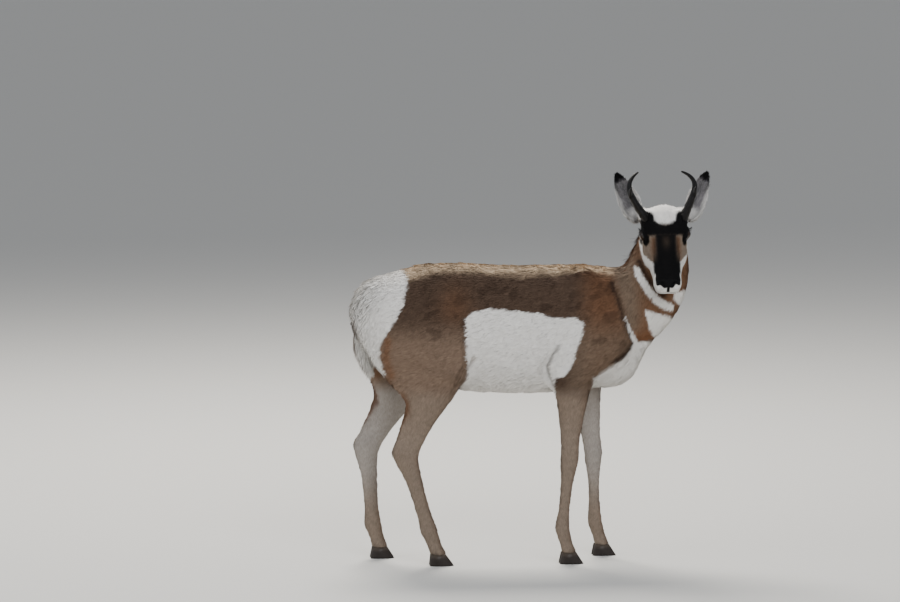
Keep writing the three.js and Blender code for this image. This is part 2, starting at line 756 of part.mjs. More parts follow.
// One toe of a cloven hoof, flat on the floor, its flatter side towards the cleft.
function toeSolid(top, bottom, outward) {
  const levels = [0, 5, CORONET * 0.55, CORONET - GAP];
  const rings = levels.map((z) => {
    const part = z / CORONET;
    const long = lerp(HOOF.length, 45, part);
    const wide = HOOF.width * (z === 0 ? 0.94 : 1);
    const x = lerp(bottom[0], top[0], part);
    const y = lerp(bottom[1], top[1], part) + outward * HOOF.spread / 2;
    return Array.from({ length: 12 }, (_, n) => {
      const angle = n / 12 * 2 * Math.PI;
      const pinch = 1 - 0.4 * Math.max(0, Math.cos(angle));
      const flat = Math.sin(angle) * outward < 0 ? 0.84 : 1;
      return vec(x + long / 2 * Math.cos(angle), y + wide / 2 * Math.sin(angle) * pinch * flat, z);
    });
  });
  return toSolid(loft(rings));
}

// A short tail that hangs against the rump.
function tailForm() {
  const [x, y, z] = TAIL.root;
  const down = TAIL.length;
  return sweep([
    station(x, y, z, 30, 40),
    station(x - 11, y, z - 0.25 * down, 38, 50),
    station(x - 8, y, z - 0.5 * down, 38, 50),
    station(x + 5, y, z - 0.76 * down, 30, 40),
    station(x + 18, y, z - 0.95 * down, 16, 22),
  ], { soft: 6 });
}

// A flat lock of hair that tapers and bends towards its lie.
function lockSolid({ root, rise, lie, length, width, thick, bend }) {
  const rings = [];
  const spot = root.clone();
  const direction = rise.clone();
  const side = rise.clone().cross(lie).normalize();
  const parts = 3;
  for (let n = 0; n < parts; n++) {
    const t = n / parts;
    const flat = direction.clone().cross(side).normalize();
    const w = width / 2 * (1 - 0.45 * t * t);
    const h = thick / 2 * (1 - 0.5 * t);
    rings.push([
      spot.clone().addScaledVector(side, w),
      spot.clone().addScaledVector(flat, h),
      spot.clone().addScaledVector(side, -w),
      spot.clone().addScaledVector(flat, -h),
    ]);
    spot.addScaledVector(direction, length / parts);
    direction.addScaledVector(lie, bend).normalize();
  }
  const geometry = tipped(rings, spot);
  const solid = toSolid(geometry);
  return solid.volume() > 0 ? solid : toSolid(flipped(geometry));
}

// Rings closed by a flat root and brought to one point at the tip.
function tipped(rings, tip) {
  const body = loft(rings, { capped: false });
  const sides = rings[0].length;
  const last = (rings.length - 1) * sides;
  const point = rings.length * sides;
  const index = [...body.index.array];
  for (let n = 0; n < sides; n++) {
    index.push(last + n, last + (n + 1) % sides, point);
  }
  for (let n = 1; n < sides - 1; n++) {
    index.push(0, n + 1, n);
  }
  const geometry = new THREE.BufferGeometry();
  geometry.setAttribute('position', new THREE.Float32BufferAttribute(
    [...body.attributes.position.array, ...tip.toArray()], 3));
  geometry.setIndex(index);
  return geometry;
}

// Walks outwards from inside a form until it comes to its skin.
function toSkin(start, direction, field) {
  const spot = start.clone();
  while (field(spot) < 0) {
    spot.addScaledVector(direction, 1);
  }
  return spot;
}

// The mane: overlapping locks in rows down the nape, each bent towards the withers.
function maneLocks() {
  const draw = random(7);
  const path = new THREE.CatmullRomCurve3(NECK.map(([x, y, z]) => vec(x, y, z)));
  const twists = new THREE.CatmullRomCurve3(NECK.map((row) => vec(row[5], 0, 0)));
  const locks = [];
  for (let row = 0; row < MANE.rows; row++) {
    for (let n = 0; n < MANE.along; n++) {
      const t = lerp(0.16, 0.93, (n + (row % 2) / 2 + 0.3 * (draw() - 0.5)) / MANE.along);
      const down = path.getTangent(t).negate();
      const wide = acrossNeck(twists.getPoint(t).x);
      wide.addScaledVector(down, -wide.dot(down)).normalize();
      const nape = wide.clone().cross(down);
      const swing = rad(lerp(-27, 27, row / (MANE.rows - 1)) + 8 * (draw() - 0.5));
      const out = nape.multiplyScalar(Math.cos(swing)).addScaledVector(wide, Math.sin(swing));
      const spot = toSkin(path.getPoint(t), out, bodyField);
      locks.push(lockSolid({
        root: spot.addScaledVector(out, -MANE.root),
        rise: out.clone().multiplyScalar(0.46).addScaledVector(down, 0.88).normalize(),
        lie: down,
        length: MANE.length * (0.85 + 0.3 * draw()),
        width: MANE.width * (0.85 + 0.3 * draw()),
        thick: MANE.thick,
        bend: 0.3,
      }));
    }
  }
  return locks;
}

// Hair of the tail, in rows round its back, longest at the tip.
function tailLocks(field) {
  const draw = random(19);
  const down = vec(0.06, 0, -1).normalize();
  const locks = [];
  for (let row = 0; row < TAIL_HAIR.rows; row++) {
    for (let n = 0; n < TAIL_HAIR.along; n++) {
      const part = (n + (row % 2) / 2) / (TAIL_HAIR.along - 0.5);
      const swing = rad(lerp(-64, 64, row / (TAIL_HAIR.rows - 1)));
      const out = vec(-Math.cos(swing), Math.sin(swing), 0);
      const inside = vec(TAIL.root[0] - 6 + 12 * part, 0, TAIL.root[2] - TAIL.length * lerp(0.16, 0.8, part));
      const spot = toSkin(inside, out, field);
      locks.push(lockSolid({
        root: spot.addScaledVector(out, -TAIL_HAIR.root),
        rise: out.clone().multiplyScalar(0.24).addScaledVector(down, 0.97).normalize(),
        lie: down,
        length: TAIL_HAIR.length * (0.85 + 0.3 * draw()),
        width: TAIL_HAIR.width * (0.85 + 0.3 * draw()),
        thick: TAIL_HAIR.thick,
        bend: 0.45,
      }));
    }
  }
  return locks;
}

const group = new THREE.Group();
function node(name, solid, colour, roughness) {
  const material = new THREE.MeshStandardMaterial({ color: colour, roughness, metalness: 0 });
  const mesh = new THREE.Mesh(toGeometry(solid), material);
  mesh.name = name;
  group.add(mesh);
}

const COAT = 0xb08a63;
const HORN_BLACK = 0x1c1a19;

// Regions of the body, each netted as finely as it needs.
const torsoNet = thinned(skin(bodyField, [-460, -170, 470], [430, 170, 920], [14, 14, 14]), 3050);
const neckNet = thinned(skin(bodyField, [290, -120, 560], [590, 110, 1060], [10, 10, 10]), 1350);
const headNet = thinned(skin(bodyField, [370, -235, 770], [600, 60, 1090], [4.5, 4.5, 4.5]), 3400);

const NECK_CUT = { point: vec(372, 0, 742), normal: vec(0.93, 0, 0.366) };
const flip = (normal) => normal.clone().negate();

// The head parts from the neck in a wedge: one face behind the poll and one under the jaw.
function headWedge(gap) {
  const hinge = vec(481, 8, 944);
  const faces = [vec(0, -0.992, 0.126), vec(0, -0.716, 0.698)];
  return faces.map((normal) => beyond(hinge.clone().addScaledVector(normal, gap), normal))
    .reduce((a, b) => a.intersect(b));
}

const tailNet = thinned(skin(tailForm().field, [-470, -45, 560], [-370, 45, 760], [6, 6, 8]), 420);
const together = (solids) => solids.reduce((a, b) => a.add(b));
const hair = together(tailLocks(tailForm().field)).subtract(toSolid(grown(torsoNet, GAP)));
const tail = largest(toSolid(tailNet).add(hair));

let torso = toSolid(torsoNet);
torso = cutOff(torso, NECK_CUT.point, NECK_CUT.normal);
torso = cutOff(torso, vec(0, 0, LEG_TOP), vec(0, 0, -1));
torso = torso.subtract(toSolid(grown(tailNet, GAP)));
node('torso', largest(torso), COAT, 0.9);
node('tail', tail, COAT, 0.9);

let neck = toSolid(neckNet).add(together(maneLocks()));
neck = cutOff(neck, NECK_CUT.point, flip(NECK_CUT.normal));
neck = neck.subtract(headWedge(-GAP / 2));
node('neck', largest(neck), COAT, 0.9);

let head = toSolid(headNet).intersect(headWedge(GAP / 2));
for (const sign of Object.values(SIDES)) {
  const { out } = eyeAxes(sign);
  const centre = eyeCentre(sign);
  const opening = vec(...centre).addScaledVector(out, 13);
  head = head.subtract(toSolid(ballOnHead(opening.toArray(), [36, 30, 24], -sign * 17, 8)));
  head = head.add(lidSolid(sign));
  const socket = EYE.radius * 2 + 2 * GAP;
  head = head.subtract(toSolid(ballOnHead(centre, [socket, socket, socket], 0, 0, 3)));
  const nostril = [NOSTRIL.along, sign * NOSTRIL.out, NOSTRIL.up];
  head = head.subtract(toSolid(ballOnHead(nostril, NOSTRIL.size, sign * 38, 20)));
}
head = head.subtract(mouthCutter());
node('head', largest(head), COAT, 0.85);

for (const [side, sign] of Object.entries(SIDES)) {
  const ys = sign > 0 ? [20, 150] : [-150, -20];
  const f = FRONT_LEG[side];
  const h = HIND_LEG[side];
  const frontNet = thinned(
    skin(bodyField, [f.fetlock[0] - 60, ys[0], 10], [f.elbow[0] + 110, ys[1], 540], [7, 7, 12]), 950);
  const hindNet = thinned(
    skin(bodyField, [h.hock[0] - 90, ys[0], 10], [h.stifle[0] + 120, ys[1], 540], [7, 7, 12]), 1050);
  for (const [name, net, joints] of [['front', frontNet, f], ['hind', hindNet, h]]) {
    let leg = toSolid(net);
    leg = cutOff(leg, vec(0, 0, LEG_TOP), vec(0, 0, 1));
    leg = cutOff(leg, vec(0, 0, CORONET + GAP / 2), vec(0, 0, -1));
    node(`leg_${name}_${side}`, largest(leg), COAT, 0.9);
    const part = 1 - CORONET / joints.fetlock[2];
    const out = lerp(joints.fetlock[1], joints.toe[1], part);
    const top = [lerp(joints.fetlock[0], joints.toe[0], part), sign * out];
    const bottom = [joints.toe[0] - 2, sign * joints.toe[1]];
    node(`hoof_${name}_${side}_outer`, toeSolid(top, bottom, sign), HORN_BLACK, 0.5);
    node(`hoof_${name}_${side}_inner`, toeSolid(top, bottom, -sign), HORN_BLACK, 0.5);
  }
  const clear = toSolid(grown(headNet, GAP));
  node(`horn_${side}`, largest(hornSolid(sign).subtract(clear)), HORN_BLACK, 0.5);
  node(`ear_${side}`, largest(earSolid(sign).subtract(clear)), COAT, 0.9);
  const ball = [EYE.radius * 2, EYE.radius * 2, EYE.radius * 2];
  node(`eye_${side}`, toSolid(ballOnHead(eyeCentre(sign), ball, 0, 0, 3)), HORN_BLACK, 0.1);
}

// The model stands with the middle of its own box over the origin.
const bounds = new THREE.Box3().setFromObject(group);
const middle = bounds.getCenter(vec(0, 0, 0));
group.position.set(-middle.x, -middle.y, 0);

export default group;
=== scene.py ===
import math
from contextlib import contextmanager

import bmesh
import bpy
import numpy as np
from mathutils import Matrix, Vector
from mathutils.bvhtree import BVHTree


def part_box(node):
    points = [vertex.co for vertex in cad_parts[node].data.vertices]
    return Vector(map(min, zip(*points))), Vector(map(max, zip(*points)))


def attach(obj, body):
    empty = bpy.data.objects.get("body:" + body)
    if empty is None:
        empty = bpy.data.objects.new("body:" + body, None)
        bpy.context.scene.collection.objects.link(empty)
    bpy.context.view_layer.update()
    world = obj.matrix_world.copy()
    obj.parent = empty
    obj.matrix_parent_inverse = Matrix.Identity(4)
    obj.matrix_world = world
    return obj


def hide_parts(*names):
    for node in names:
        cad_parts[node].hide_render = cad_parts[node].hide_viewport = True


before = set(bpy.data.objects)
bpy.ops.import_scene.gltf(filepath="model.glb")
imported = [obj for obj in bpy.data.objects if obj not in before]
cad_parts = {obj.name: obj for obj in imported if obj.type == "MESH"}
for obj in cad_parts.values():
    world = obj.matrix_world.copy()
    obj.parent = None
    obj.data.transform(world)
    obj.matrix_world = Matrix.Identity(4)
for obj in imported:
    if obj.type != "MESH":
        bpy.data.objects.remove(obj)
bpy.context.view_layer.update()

# Places below are in metres in the body's own frame: x ahead, y to its left, z up from the floor.
# The two eyes place that frame and the head's frame in the model.
CAMERA = {"azimuth": -5, "elevation": 6, "target": (-0.148, 0.0, 0.775), "distance": 14.0, "pixel": 0.00295}
POLL = np.array([0.481, -0.018, 1.040])
HEAD_TURN = (-92, 50, 2)
EYE = {"along": 0.097, "out": 0.055, "up": 0.016, "radius": 0.0205}
SKIN_CELL = 0.0038
COAT_DEPTH = {"body": 0.006, "leg": 0.0025, "head": 0.002}
COAT_TUFTS, QUICK_TUFTS, EAR_TUFTS = 300000, 90000, 14000
MANE_STRANDS, TAIL_STRANDS = 3600, 2400
FLOOR_SIZE = 240
LIGHTS = {"key": ((-0.6, 3.2, 5.2), 520, 2.4, (1, 0.96, 0.9)),
          "front": ((1.2, -4.6, 3.4), 170, 3.4, (0.95, 0.97, 1)),
          "side": ((-4.6, -1.6, 2.4), 70, 3.0, (0.95, 0.97, 1))}
SEED = 4217

FLESH = ["torso", "neck", "head"]
FLESH += [f"leg_{end}_{side}" for end in ("front", "hind") for side in ("left", "right")]
SIDES = {"left": 1, "right": -1}


def length(v, keep=False):
    return np.linalg.norm(v, axis=-1, keepdims=keep)


def unit(v):
    v = np.asarray(v, float)
    return v / np.maximum(length(v, True), 1e-12)


def head_axes():
    turn, pitch, roll = (math.radians(a) for a in HEAD_TURN)
    ahead = np.array([math.cos(turn) * math.cos(pitch), math.sin(turn) * math.cos(pitch), -math.sin(pitch)])
    left = np.array([-math.sin(turn), math.cos(turn), 0.0])
    brow = np.cross(ahead, left)
    side = left * math.cos(roll) + brow * math.sin(roll)
    return np.array([ahead, side, np.cross(ahead, side)])


HEAD = head_axes()


def box_middle(node):
    low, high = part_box(node)
    return (np.array(low) + np.array(high)) / 2


EYES_MIDDLE = (box_middle("eye_left") + box_middle("eye_right")) / 2
SHIFT = EYES_MIDDLE - (POLL + np.array([EYE["along"], 0, EYE["up"]]) @ HEAD)


def to_head(points):
    return (points - POLL) @ HEAD.T


def from_head(points):
    return np.asarray(points) @ HEAD + POLL


# The head begins past two planes that meet behind the jaw.
HEAD_HINGE = np.array([0.481, 0.008, 0.944])
HEAD_PLANES = np.array([[0, -0.992, 0.126], [0, -0.716, 0.698]])


def past_hinge(body):
    away = (body - HEAD_HINGE) @ HEAD_PLANES.T
    return np.where(body[:, 0] > 0.36, np.minimum(away[:, 0], away[:, 1]), -1.0)


def head_share(body, soft=0.004):
    return ramp(-soft, soft, past_hinge(body))


def ramp(low, high, x):
    t = np.clip((x - low) / (high - low), 0, 1)
    return t * t * (3 - 2 * t)


def mix(a, b, t):
    return a + (b - a) * t


def laid_flat(way, normal):
    return way - normal * np.sum(way * normal, axis=1, keepdims=True)


def placed(name, data):
    obj = bpy.data.objects.new(name, data)
    bpy.context.collection.objects.link(obj)
    return obj


# Camera, floor and light.
def camera_axes():
    a, e = math.radians(CAMERA["azimuth"]), math.radians(CAMERA["elevation"])
    back = np.array([math.sin(a) * math.cos(e), -math.cos(a) * math.cos(e), math.sin(e)])
    right = np.array([math.cos(a), math.sin(a), 0.0])
    return right, np.cross(back, right), back


RIGHT, UP, BACK = camera_axes()


def pixels(points):
    away = points - np.array(CAMERA["target"])
    scale = CAMERA["distance"] / (CAMERA["distance"] - away @ BACK) / CAMERA["pixel"]
    return 450 + (away @ RIGHT) * scale, 301 - (away @ UP) * scale


def make_camera():
    data = bpy.data.cameras.new("camera")
    data.sensor_width = 36
    data.lens = 36 * CAMERA["distance"] / (900 * CAMERA["pixel"])
    data.clip_end = 100
    camera = placed("camera", data)
    target = np.array(CAMERA["target"]) + SHIFT
    camera.location = target + BACK * CAMERA["distance"]
    camera.rotation_euler = Vector(BACK).to_track_quat("Z", "Y").to_euler()
    bpy.context.scene.camera = camera


def area_light(name, place, power, size, tint):
    data = bpy.data.lights.new(name, "AREA")
    data.energy = power
    data.size = size
    data.color = tint
    light = placed(name, data)
    light.location = place
    aim = Vector((0, 0, 0.6)) - Vector(place)
    light.rotation_euler = aim.to_track_quat("-Z", "Y").to_euler()


def make_room():
    world = bpy.data.worlds.new("studio")
    world.use_nodes = True
    sky = world.node_tree.nodes["Background"].inputs
    sky["Color"].default_value = (0.86, 0.89, 0.94, 1)
    sky["Strength"].default_value = 0.5
    bpy.context.scene.world = world
    for name, values in LIGHTS.items():
        area_light(name, *values)
    bpy.ops.mesh.primitive_plane_add(size=FLOOR_SIZE)
    floor = bpy.context.object
    floor.name = "floor"
    paint = bpy.data.materials.new("floor_paint")
    paint.use_nodes = True
    shader = paint.node_tree.nodes["Principled BSDF"]
    shader.inputs["Base Color"].default_value = (0.62, 0.61, 0.58, 1)
    shader.inputs["Roughness"].default_value = 0.9
    floor.data.materials.append(paint)


# Meshes.
def table(rows, field, width, kind=np.float32):
    values = np.empty(len(rows) * width, kind)
    rows.foreach_get(field, values)
    return values.reshape(-1, width)


def mesh_points(mesh):
    return table(mesh.vertices, "co", 3).astype(float)


def mesh_normals(mesh):
    return table(mesh.vertex_normals, "vector", 3).astype(float)


def mesh_edges(mesh):
    return table(mesh.edges, "vertices", 2, np.int32)


def set_points(mesh, points):
    mesh.vertices.foreach_set("co", np.asarray(points, np.float32).ravel())
    mesh.update()


def averaged(values, edges, count, rounds, share=0.5):
    degree = np.maximum(np.bincount(edges.ravel(), minlength=count), 1)
    values = np.array(values, float)
    columns = values.reshape(count, -1)
    for _ in range(rounds):
        for k in range(columns.shape[1]):
            column = columns[:, k]
            total = np.bincount(edges[:, 0], weights=column[edges[:, 1]], minlength=count)
            total += np.bincount(edges[:, 1], weights=column[edges[:, 0]], minlength=count)
            columns[:, k] = column + share * (total / degree - column)
    return columns.reshape(values.shape)


@contextmanager
def edited(mesh):
    """The mesh opened for edits, and written back at the end."""
    shape = bmesh.new()
    shape.from_mesh(mesh)
    yield shape
    shape.to_mesh(mesh)
    shape.free()


def gathered(nodes, extra=(), grow=0.0):
    """The points and faces of some nodes as one list each."""
    parts = list(extra)
    for node in nodes:
        mesh = bpy.data.objects[node].data
        own = mesh_points(mesh) + mesh_normals(mesh) * grow
        parts.append((own, [list(face.vertices) for face in mesh.polygons]))
    points, faces, start = [], [], 0
    for own, own_faces in parts:
        points.append(own)
        faces += [[v + start for v in face] for face in own_faces]
        start += len(own)
    return np.concatenate(points).tolist(), faces


def joined_copy(name, nodes, extra=(), grow=0.0004):
    points, faces = gathered(nodes, extra, grow)
    mesh = bpy.data.meshes.new(name)
    mesh.from_pydata(points, [], faces)
    return placed(name, mesh)


def applied(obj):
    graph = bpy.context.evaluated_depsgraph_get()
    mesh = bpy.data.meshes.new_from_object(obj.evaluated_get(graph))
    obj.modifiers.clear()
    old = obj.data
    obj.data = mesh
    bpy.data.meshes.remove(old)
    mesh.name = obj.name


def largest_part(mesh):
    edges = mesh_edges(mesh)
    count = len(mesh.vertices)
    label = np.arange(count)
    while True:
        low = np.minimum(label[edges[:, 0]], label[edges[:, 1]])
        fresh = label.copy()
        np.minimum.at(fresh, edges[:, 0], low)
        np.minimum.at(fresh, edges[:, 1], low)
        fresh = fresh[fresh]
        if (fresh == label).all():
            break
        label = fresh
    names, sizes = np.unique(label, return_counts=True)
    return label == names[sizes.argmax()]


def signed_distance(tree, points):
    away = np.empty(len(points))
    for n, point in enumerate(points):
        spot, normal, _, far = tree.find_nearest(point)
        away[n] = far if (Vector(point) - spot).dot(normal) > 0 else -far
    return away


def paint_points(mesh, colours):
    rgba = np.ones((len(mesh.vertices), 4), np.float32)
    rgba[:, :3] = np.clip(colours, 0, 1)
    mesh.color_attributes.new("coat_colour", "FLOAT_COLOR", "POINT").data.foreach_set("color", rgba.ravel())


def dress(obj, material, colours=None):
    if colours is not None:
        paint_points(obj.data, colours)
    obj.data.materials.append(material)
    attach(obj, "root")


# The skin: one closed surface under the coat of body, neck, head, legs and tail.
def skin_depth(body):
    on_head = head_share(body, 0.02)
    leg = 1 - ramp(0.42, 0.56, body[:, 2])
    depth = mix(COAT_DEPTH["body"], COAT_DEPTH["leg"], leg)
    return mix(depth, COAT_DEPTH["head"], on_head)


# The tail's rings: how far ahead of its root, how deep, how wide, and how far down.
TAIL = [(0.0, 0.030, 0.040, 0.0), (-0.011, 0.036, 0.046, 0.0375), (-0.008, 0.036, 0.046, 0.075),
        (0.005, 0.028, 0.036, 0.114), (0.018, 0.014, 0.018, 0.1425)]
TAIL_ROOT = (-0.404, 0.0, 0.726)


def tail_core():
    sides = 14
    rings = [(0.012, 0.004, 0.004, -0.016)] + TAIL + [(0.021, 0.003, 0.003, 0.149)]
    points = []
    for ahead, deep, wide, down in rings:
        for k in range(sides):
            a = 2 * math.pi * k / sides
            points.append((TAIL_ROOT[0] + ahead + deep / 2 * math.cos(a), wide / 2 * math.sin(a),
                           TAIL_ROOT[2] - down))
    faces = [list(range(sides)), [len(points) - 1 - k for k in range(sides)]]
    for row in range(0, len(points) - sides, sides):
        for k in range(sides):
            a, b = row + k, row + (k + 1) % sides
            faces.append([a, a + sides, b + sides, b])
    return np.array(points) + SHIFT, faces


def make_skin():
    skin = joined_copy("skin", FLESH, [tail_core()])
    remesh = skin.modifiers.new("cells", "REMESH")
    remesh.mode = "VOXEL"
    remesh.voxel_size = SKIN_CELL
    applied(skin)
    mesh = skin.data
    keep = largest_part(mesh)
    if not keep.all():
        with edited(mesh) as shape:
            loose = [vertex for vertex in shape.verts if not keep[vertex.index]]
            bmesh.ops.delete(shape, geom=loose, context="VERTS")
    edges, count = mesh_edges(mesh), len(mesh.vertices)
    points = mesh_points(mesh)
    share = mix(0.6, 0.2, head_share(points - SHIFT, 0.015))
    points = averaged(points, edges, count, 24, share)
    set_points(mesh, points)
    tree = BVHTree.FromPolygons(*gathered(FLESH))
    away = signed_distance(tree, points)
    move = np.clip(-skin_depth(points - SHIFT) - away, -0.008, 0.008)
    move = averaged(move, edges, count, 30, 0.6)
    points = points + mesh_normals(mesh) * move[:, None]
    set_points(mesh, points)
    finer_head(mesh)
    sculpt(mesh)
    return skin


def finer_head(mesh):
    with edited(mesh) as shape:
        chosen = []
        for edge in shape.edges:
            middle = (edge.verts[0].co + edge.verts[1].co) / 2
            head = to_head(np.array(middle) - SHIFT)
            if head[0] > 0.04 and middle.z > 0.79 and abs(head[1]) < 0.1 and head[2] > -0.1:
                chosen.append(edge)
        bmesh.ops.subdivide_edges(shape, edges=chosen, cuts=1, use_grid_fill=True, smooth=1.0)
        bmesh.ops.triangulate(shape, faces=[f for f in shape.faces if len(f.verts) > 4])


def eye_frame(sign):
    out = unit(np.array([0.3, sign * 0.93, 0.2]))
    long = np.array([0.93, -sign * 0.28, -0.2])
    long = unit(long - out * (long @ out))
    return np.array([EYE["along"], sign * EYE["out"], EYE["up"]]), out, long, np.cross(out, long) * -sign


def bump(distance, width):
    return np.exp(-(distance / width) ** 2)


def line_distance(u, v, line):
    best = np.full(len(u), 1e9)
    share = np.zeros(len(u))
    for k in range(len(line) - 1):
        ax, ay = line[k]
        bx, by = line[k + 1]
        dx, dy = bx - ax, by - ay
        t = np.clip(((u - ax) * dx + (v - ay) * dy) / (dx * dx + dy * dy), 0, 1)
        far = np.hypot(u - ax - t * dx, v - ay - t * dy)
        near = far < best
        best = np.where(near, far, best)
        share = np.where(near, (k + t) / (len(line) - 1), share)
    return best, share


def beside(u, v, line, width):
    return bump(line_distance(u, v, line)[0], width)


def inside(u, v, polygon, soft=1.0):
    best, _ = line_distance(u, v, list(polygon) + [polygon[0]])
    crossings = np.zeros(len(u), bool)
    for k in range(len(polygon)):
        ax, ay = polygon[k]
        bx, by = polygon[(k + 1) % len(polygon)]
        if ay == by:
            continue
        hit = (ay > v) != (by > v)
        crossings ^= hit & (u < (bx - ax) * (v - ay) / (by - ay) + ax)
    return ramp(-soft, soft, np.where(crossings, best, -best))


# The neck's middle line: height, x, y and how far the throat has turned to the right, in degrees.
NECK = np.array([
    [0.728, 0.322, 0.000, 0], [0.752, 0.388, 0.000, 0], [0.800, 0.444, -0.005, 8], [0.856, 0.471, 0.006, 20],
    [0.912, 0.481, 0.016, 38], [0.958, 0.484, 0.008, 60], [0.980, 0.484, -0.006, 75],
])


def throat_frame(body):
    on_neck = ramp(0.34, 0.42, body[:, 0])
    x, y, turn = (np.interp(body[:, 2], NECK[:, 0], NECK[:, k]) for k in (1, 2, 3))
    y, turn = y * on_neck, np.radians(turn) * on_neck
    dx, dy = body[:, 0] - x, body[:, 1] - y
    ahead = dx * np.cos(turn) - dy * np.sin(turn)
    side = dx * np.sin(turn) + dy * np.cos(turn)
    return x, y, turn, ahead, side


# A point's place in the picture, once it is brought over to the near side.
def near_side(body):
    x, y, turn, ahead, side = throat_frame(body)
    side = -np.abs(side)
    near = body.copy()
    near[:, 0] = x + ahead * np.cos(turn) + side * np.sin(turn)
    near[:, 1] = y - ahead * np.sin(turn) + side * np.cos(turn)
    u, v = pixels(near)
    # The legs of the far side stand wider apart, and the marks round them go along.
    far, z = body[:, 1] > 0.01, body[:, 2]
    u = u + far * 15 * ramp(0.68, 0.5, z) * ramp(0.0, -0.1, body[:, 0])
    u = u - far * 13 * ramp(0.62, 0.5, z) * ramp(0.1, 0.2, body[:, 0])
    return u, v


NOSTRIL = [(9, 10), (15, 15), (22, 18), (28, 17), (31, 13)]
# Lines of the elbow and flank creases: sunk into the skin, and darkened with painted shade.
ELBOW_FOLD = [(559, 346), (552, 357), (548, 366), (550, 376), (555, 386)]
FLANK_FOLD = [(474, 358), (468, 366), (463, 377), (459, 390)]


def sculpt(mesh):
    points, normals = mesh_points(mesh), mesh_normals(mesh)
    body = points - SHIFT
    u, v = near_side(body)
    lift = np.zeros(len(points))
    for line, depth, width in ((ELBOW_FOLD, 0.007, 2.6), (FLANK_FOLD, 0.005, 3.0)):
        far, share = line_distance(u, v, line)
        lift -= depth * bump(far, width) * np.sin(np.pi * np.clip(share, 0.04, 0.96)) ** 0.6
    lift += 0.004 * beside(u, v, [(566, 352), (560, 366), (562, 380)], 7)
    lift *= ramp(0.3, 0.7, np.abs(normals[:, 1])) * (body[:, 2] > 0.47) * (body[:, 0] < 0.36)
    body = points + normals * lift[:, None] - SHIFT
    head = to_head(body)
    out_of_head = normals @ HEAD.T
    for sign in SIDES.values():
        centre, out, long, rise = eye_frame(sign)
        away = head - centre
        near = (length(away) < 0.045) & (away @ out > -0.004)
        n = unit(away)
        # The slit between the lids, measured on the ball: below 1 is open.
        x = (n @ long) / 0.86
        y = (n @ rise - 0.02) / np.where(n @ rise > 0.02, 0.50, 0.42)
        slit = np.sqrt(x * x + y * y)
        upper = ramp(-0.1, 0.3, n @ rise)
        lid = 0.0016 * bump(slit - 1.12, 0.12) + 0.0012 * upper * bump(slit - 1.2, 0.14)
        lid = EYE["radius"] + 0.0012 + lid
        lid = np.where(slit < 1.0, EYE["radius"] * 0.8, lid)
        hold = ramp(1.75, 1.3, slit) * (n @ out > 0.1)
        target = centre + n * lid[:, None]
        fold = -0.0022 * bump(slit - 1.72, 0.13) * upper + 0.001 * bump(slit - 2.05, 0.2) * upper
        pull = np.where(near, hold, 0.0)[:, None]
        head = mix(head, target, pull) + n * np.where(near, fold, 0.0)[:, None]
        # The pit in front of the eye.
        spot = length(head - (centre + long * 0.034 - rise * 0.006))
        head -= out_of_head * (0.0022 * bump(spot, 0.009))[:, None]
        # The nostril: a slit that curves up and back, with a raised wing over it.
        side_u = head[:, 1] * sign
        snout = (head[:, 0] > 0.235) & (side_u > 0)
        far, share = line_distance(side_u * 1000, head[:, 2] * 1000, NOSTRIL)
        dip = 0.0075 * bump(far, 2.6) * np.sin(np.pi * np.clip(share, 0.05, 0.95)) ** 0.5
        wing = 0.0016 * bump(far - 5.2, 2.4)
        facing = ramp(0.15, 0.6, out_of_head[:, 0])
        head += out_of_head * ((wing - dip) * facing * snout)[:, None]
    # The groove down the middle of the upper lip, and the line of the mouth.
    height = head[:, 2]
    middle = bump(head[:, 1], 0.0016) * ramp(-0.024, -0.018, height) * ramp(0.006, -0.002, height)
    head -= out_of_head * (0.002 * middle * (head[:, 0] > 0.25))[:, None]
    head -= out_of_head * (0.0032 * mouth_line(head))[:, None]
    jowl = bump(head[:, 0] - 0.178, 0.045) * bump(head[:, 2] + 0.030, 0.026)
    head[:, 1] += 0.006 * jowl * ramp(0.012, 0.03, np.abs(head[:, 1])) * np.sign(head[:, 1])
    lower = bump(head[:, 2] + 0.031, 0.006) * ramp(0.19, 0.25, head[:, 0])
    head += out_of_head * (0.0012 * lower)[:, None]
    set_points(mesh, np.where(past_hinge(body)[:, None] > 0, from_head(head), body) + SHIFT)


def mouth_line(head):
    height = -0.025 + 0.0035 * (1 - ramp(0.2, 0.27, head[:, 0]))
    reach = ramp(0.196, 0.206, head[:, 0])
    return bump(head[:, 2] - height, 0.0020) * reach


# Colours, as they are seen, and where they lie.
def colour(red, green, blue):
    c = np.array([red, green, blue]) / 255
    return np.where(c <= 0.04045, c / 12.92, ((c + 0.055) / 1.055) ** 2.4)


BACK_BROWN = colour(80, 64, 53)
# Pale tan of the coat along the spine, lightened with painted sunlight.
SUNLIT_SPINE_TAN = colour(212, 187, 156)
RUST = colour(116, 80, 56)
THIGH = colour(126, 106, 90)
LEG_TAN = colour(136, 121, 107)
TAUPE = colour(112, 95, 80)
WHITE = colour(236, 233, 228)
DARK = colour(46, 33, 26)
BLACK = colour(12, 11, 12)
FACE_TAN = colour(132, 118, 104)

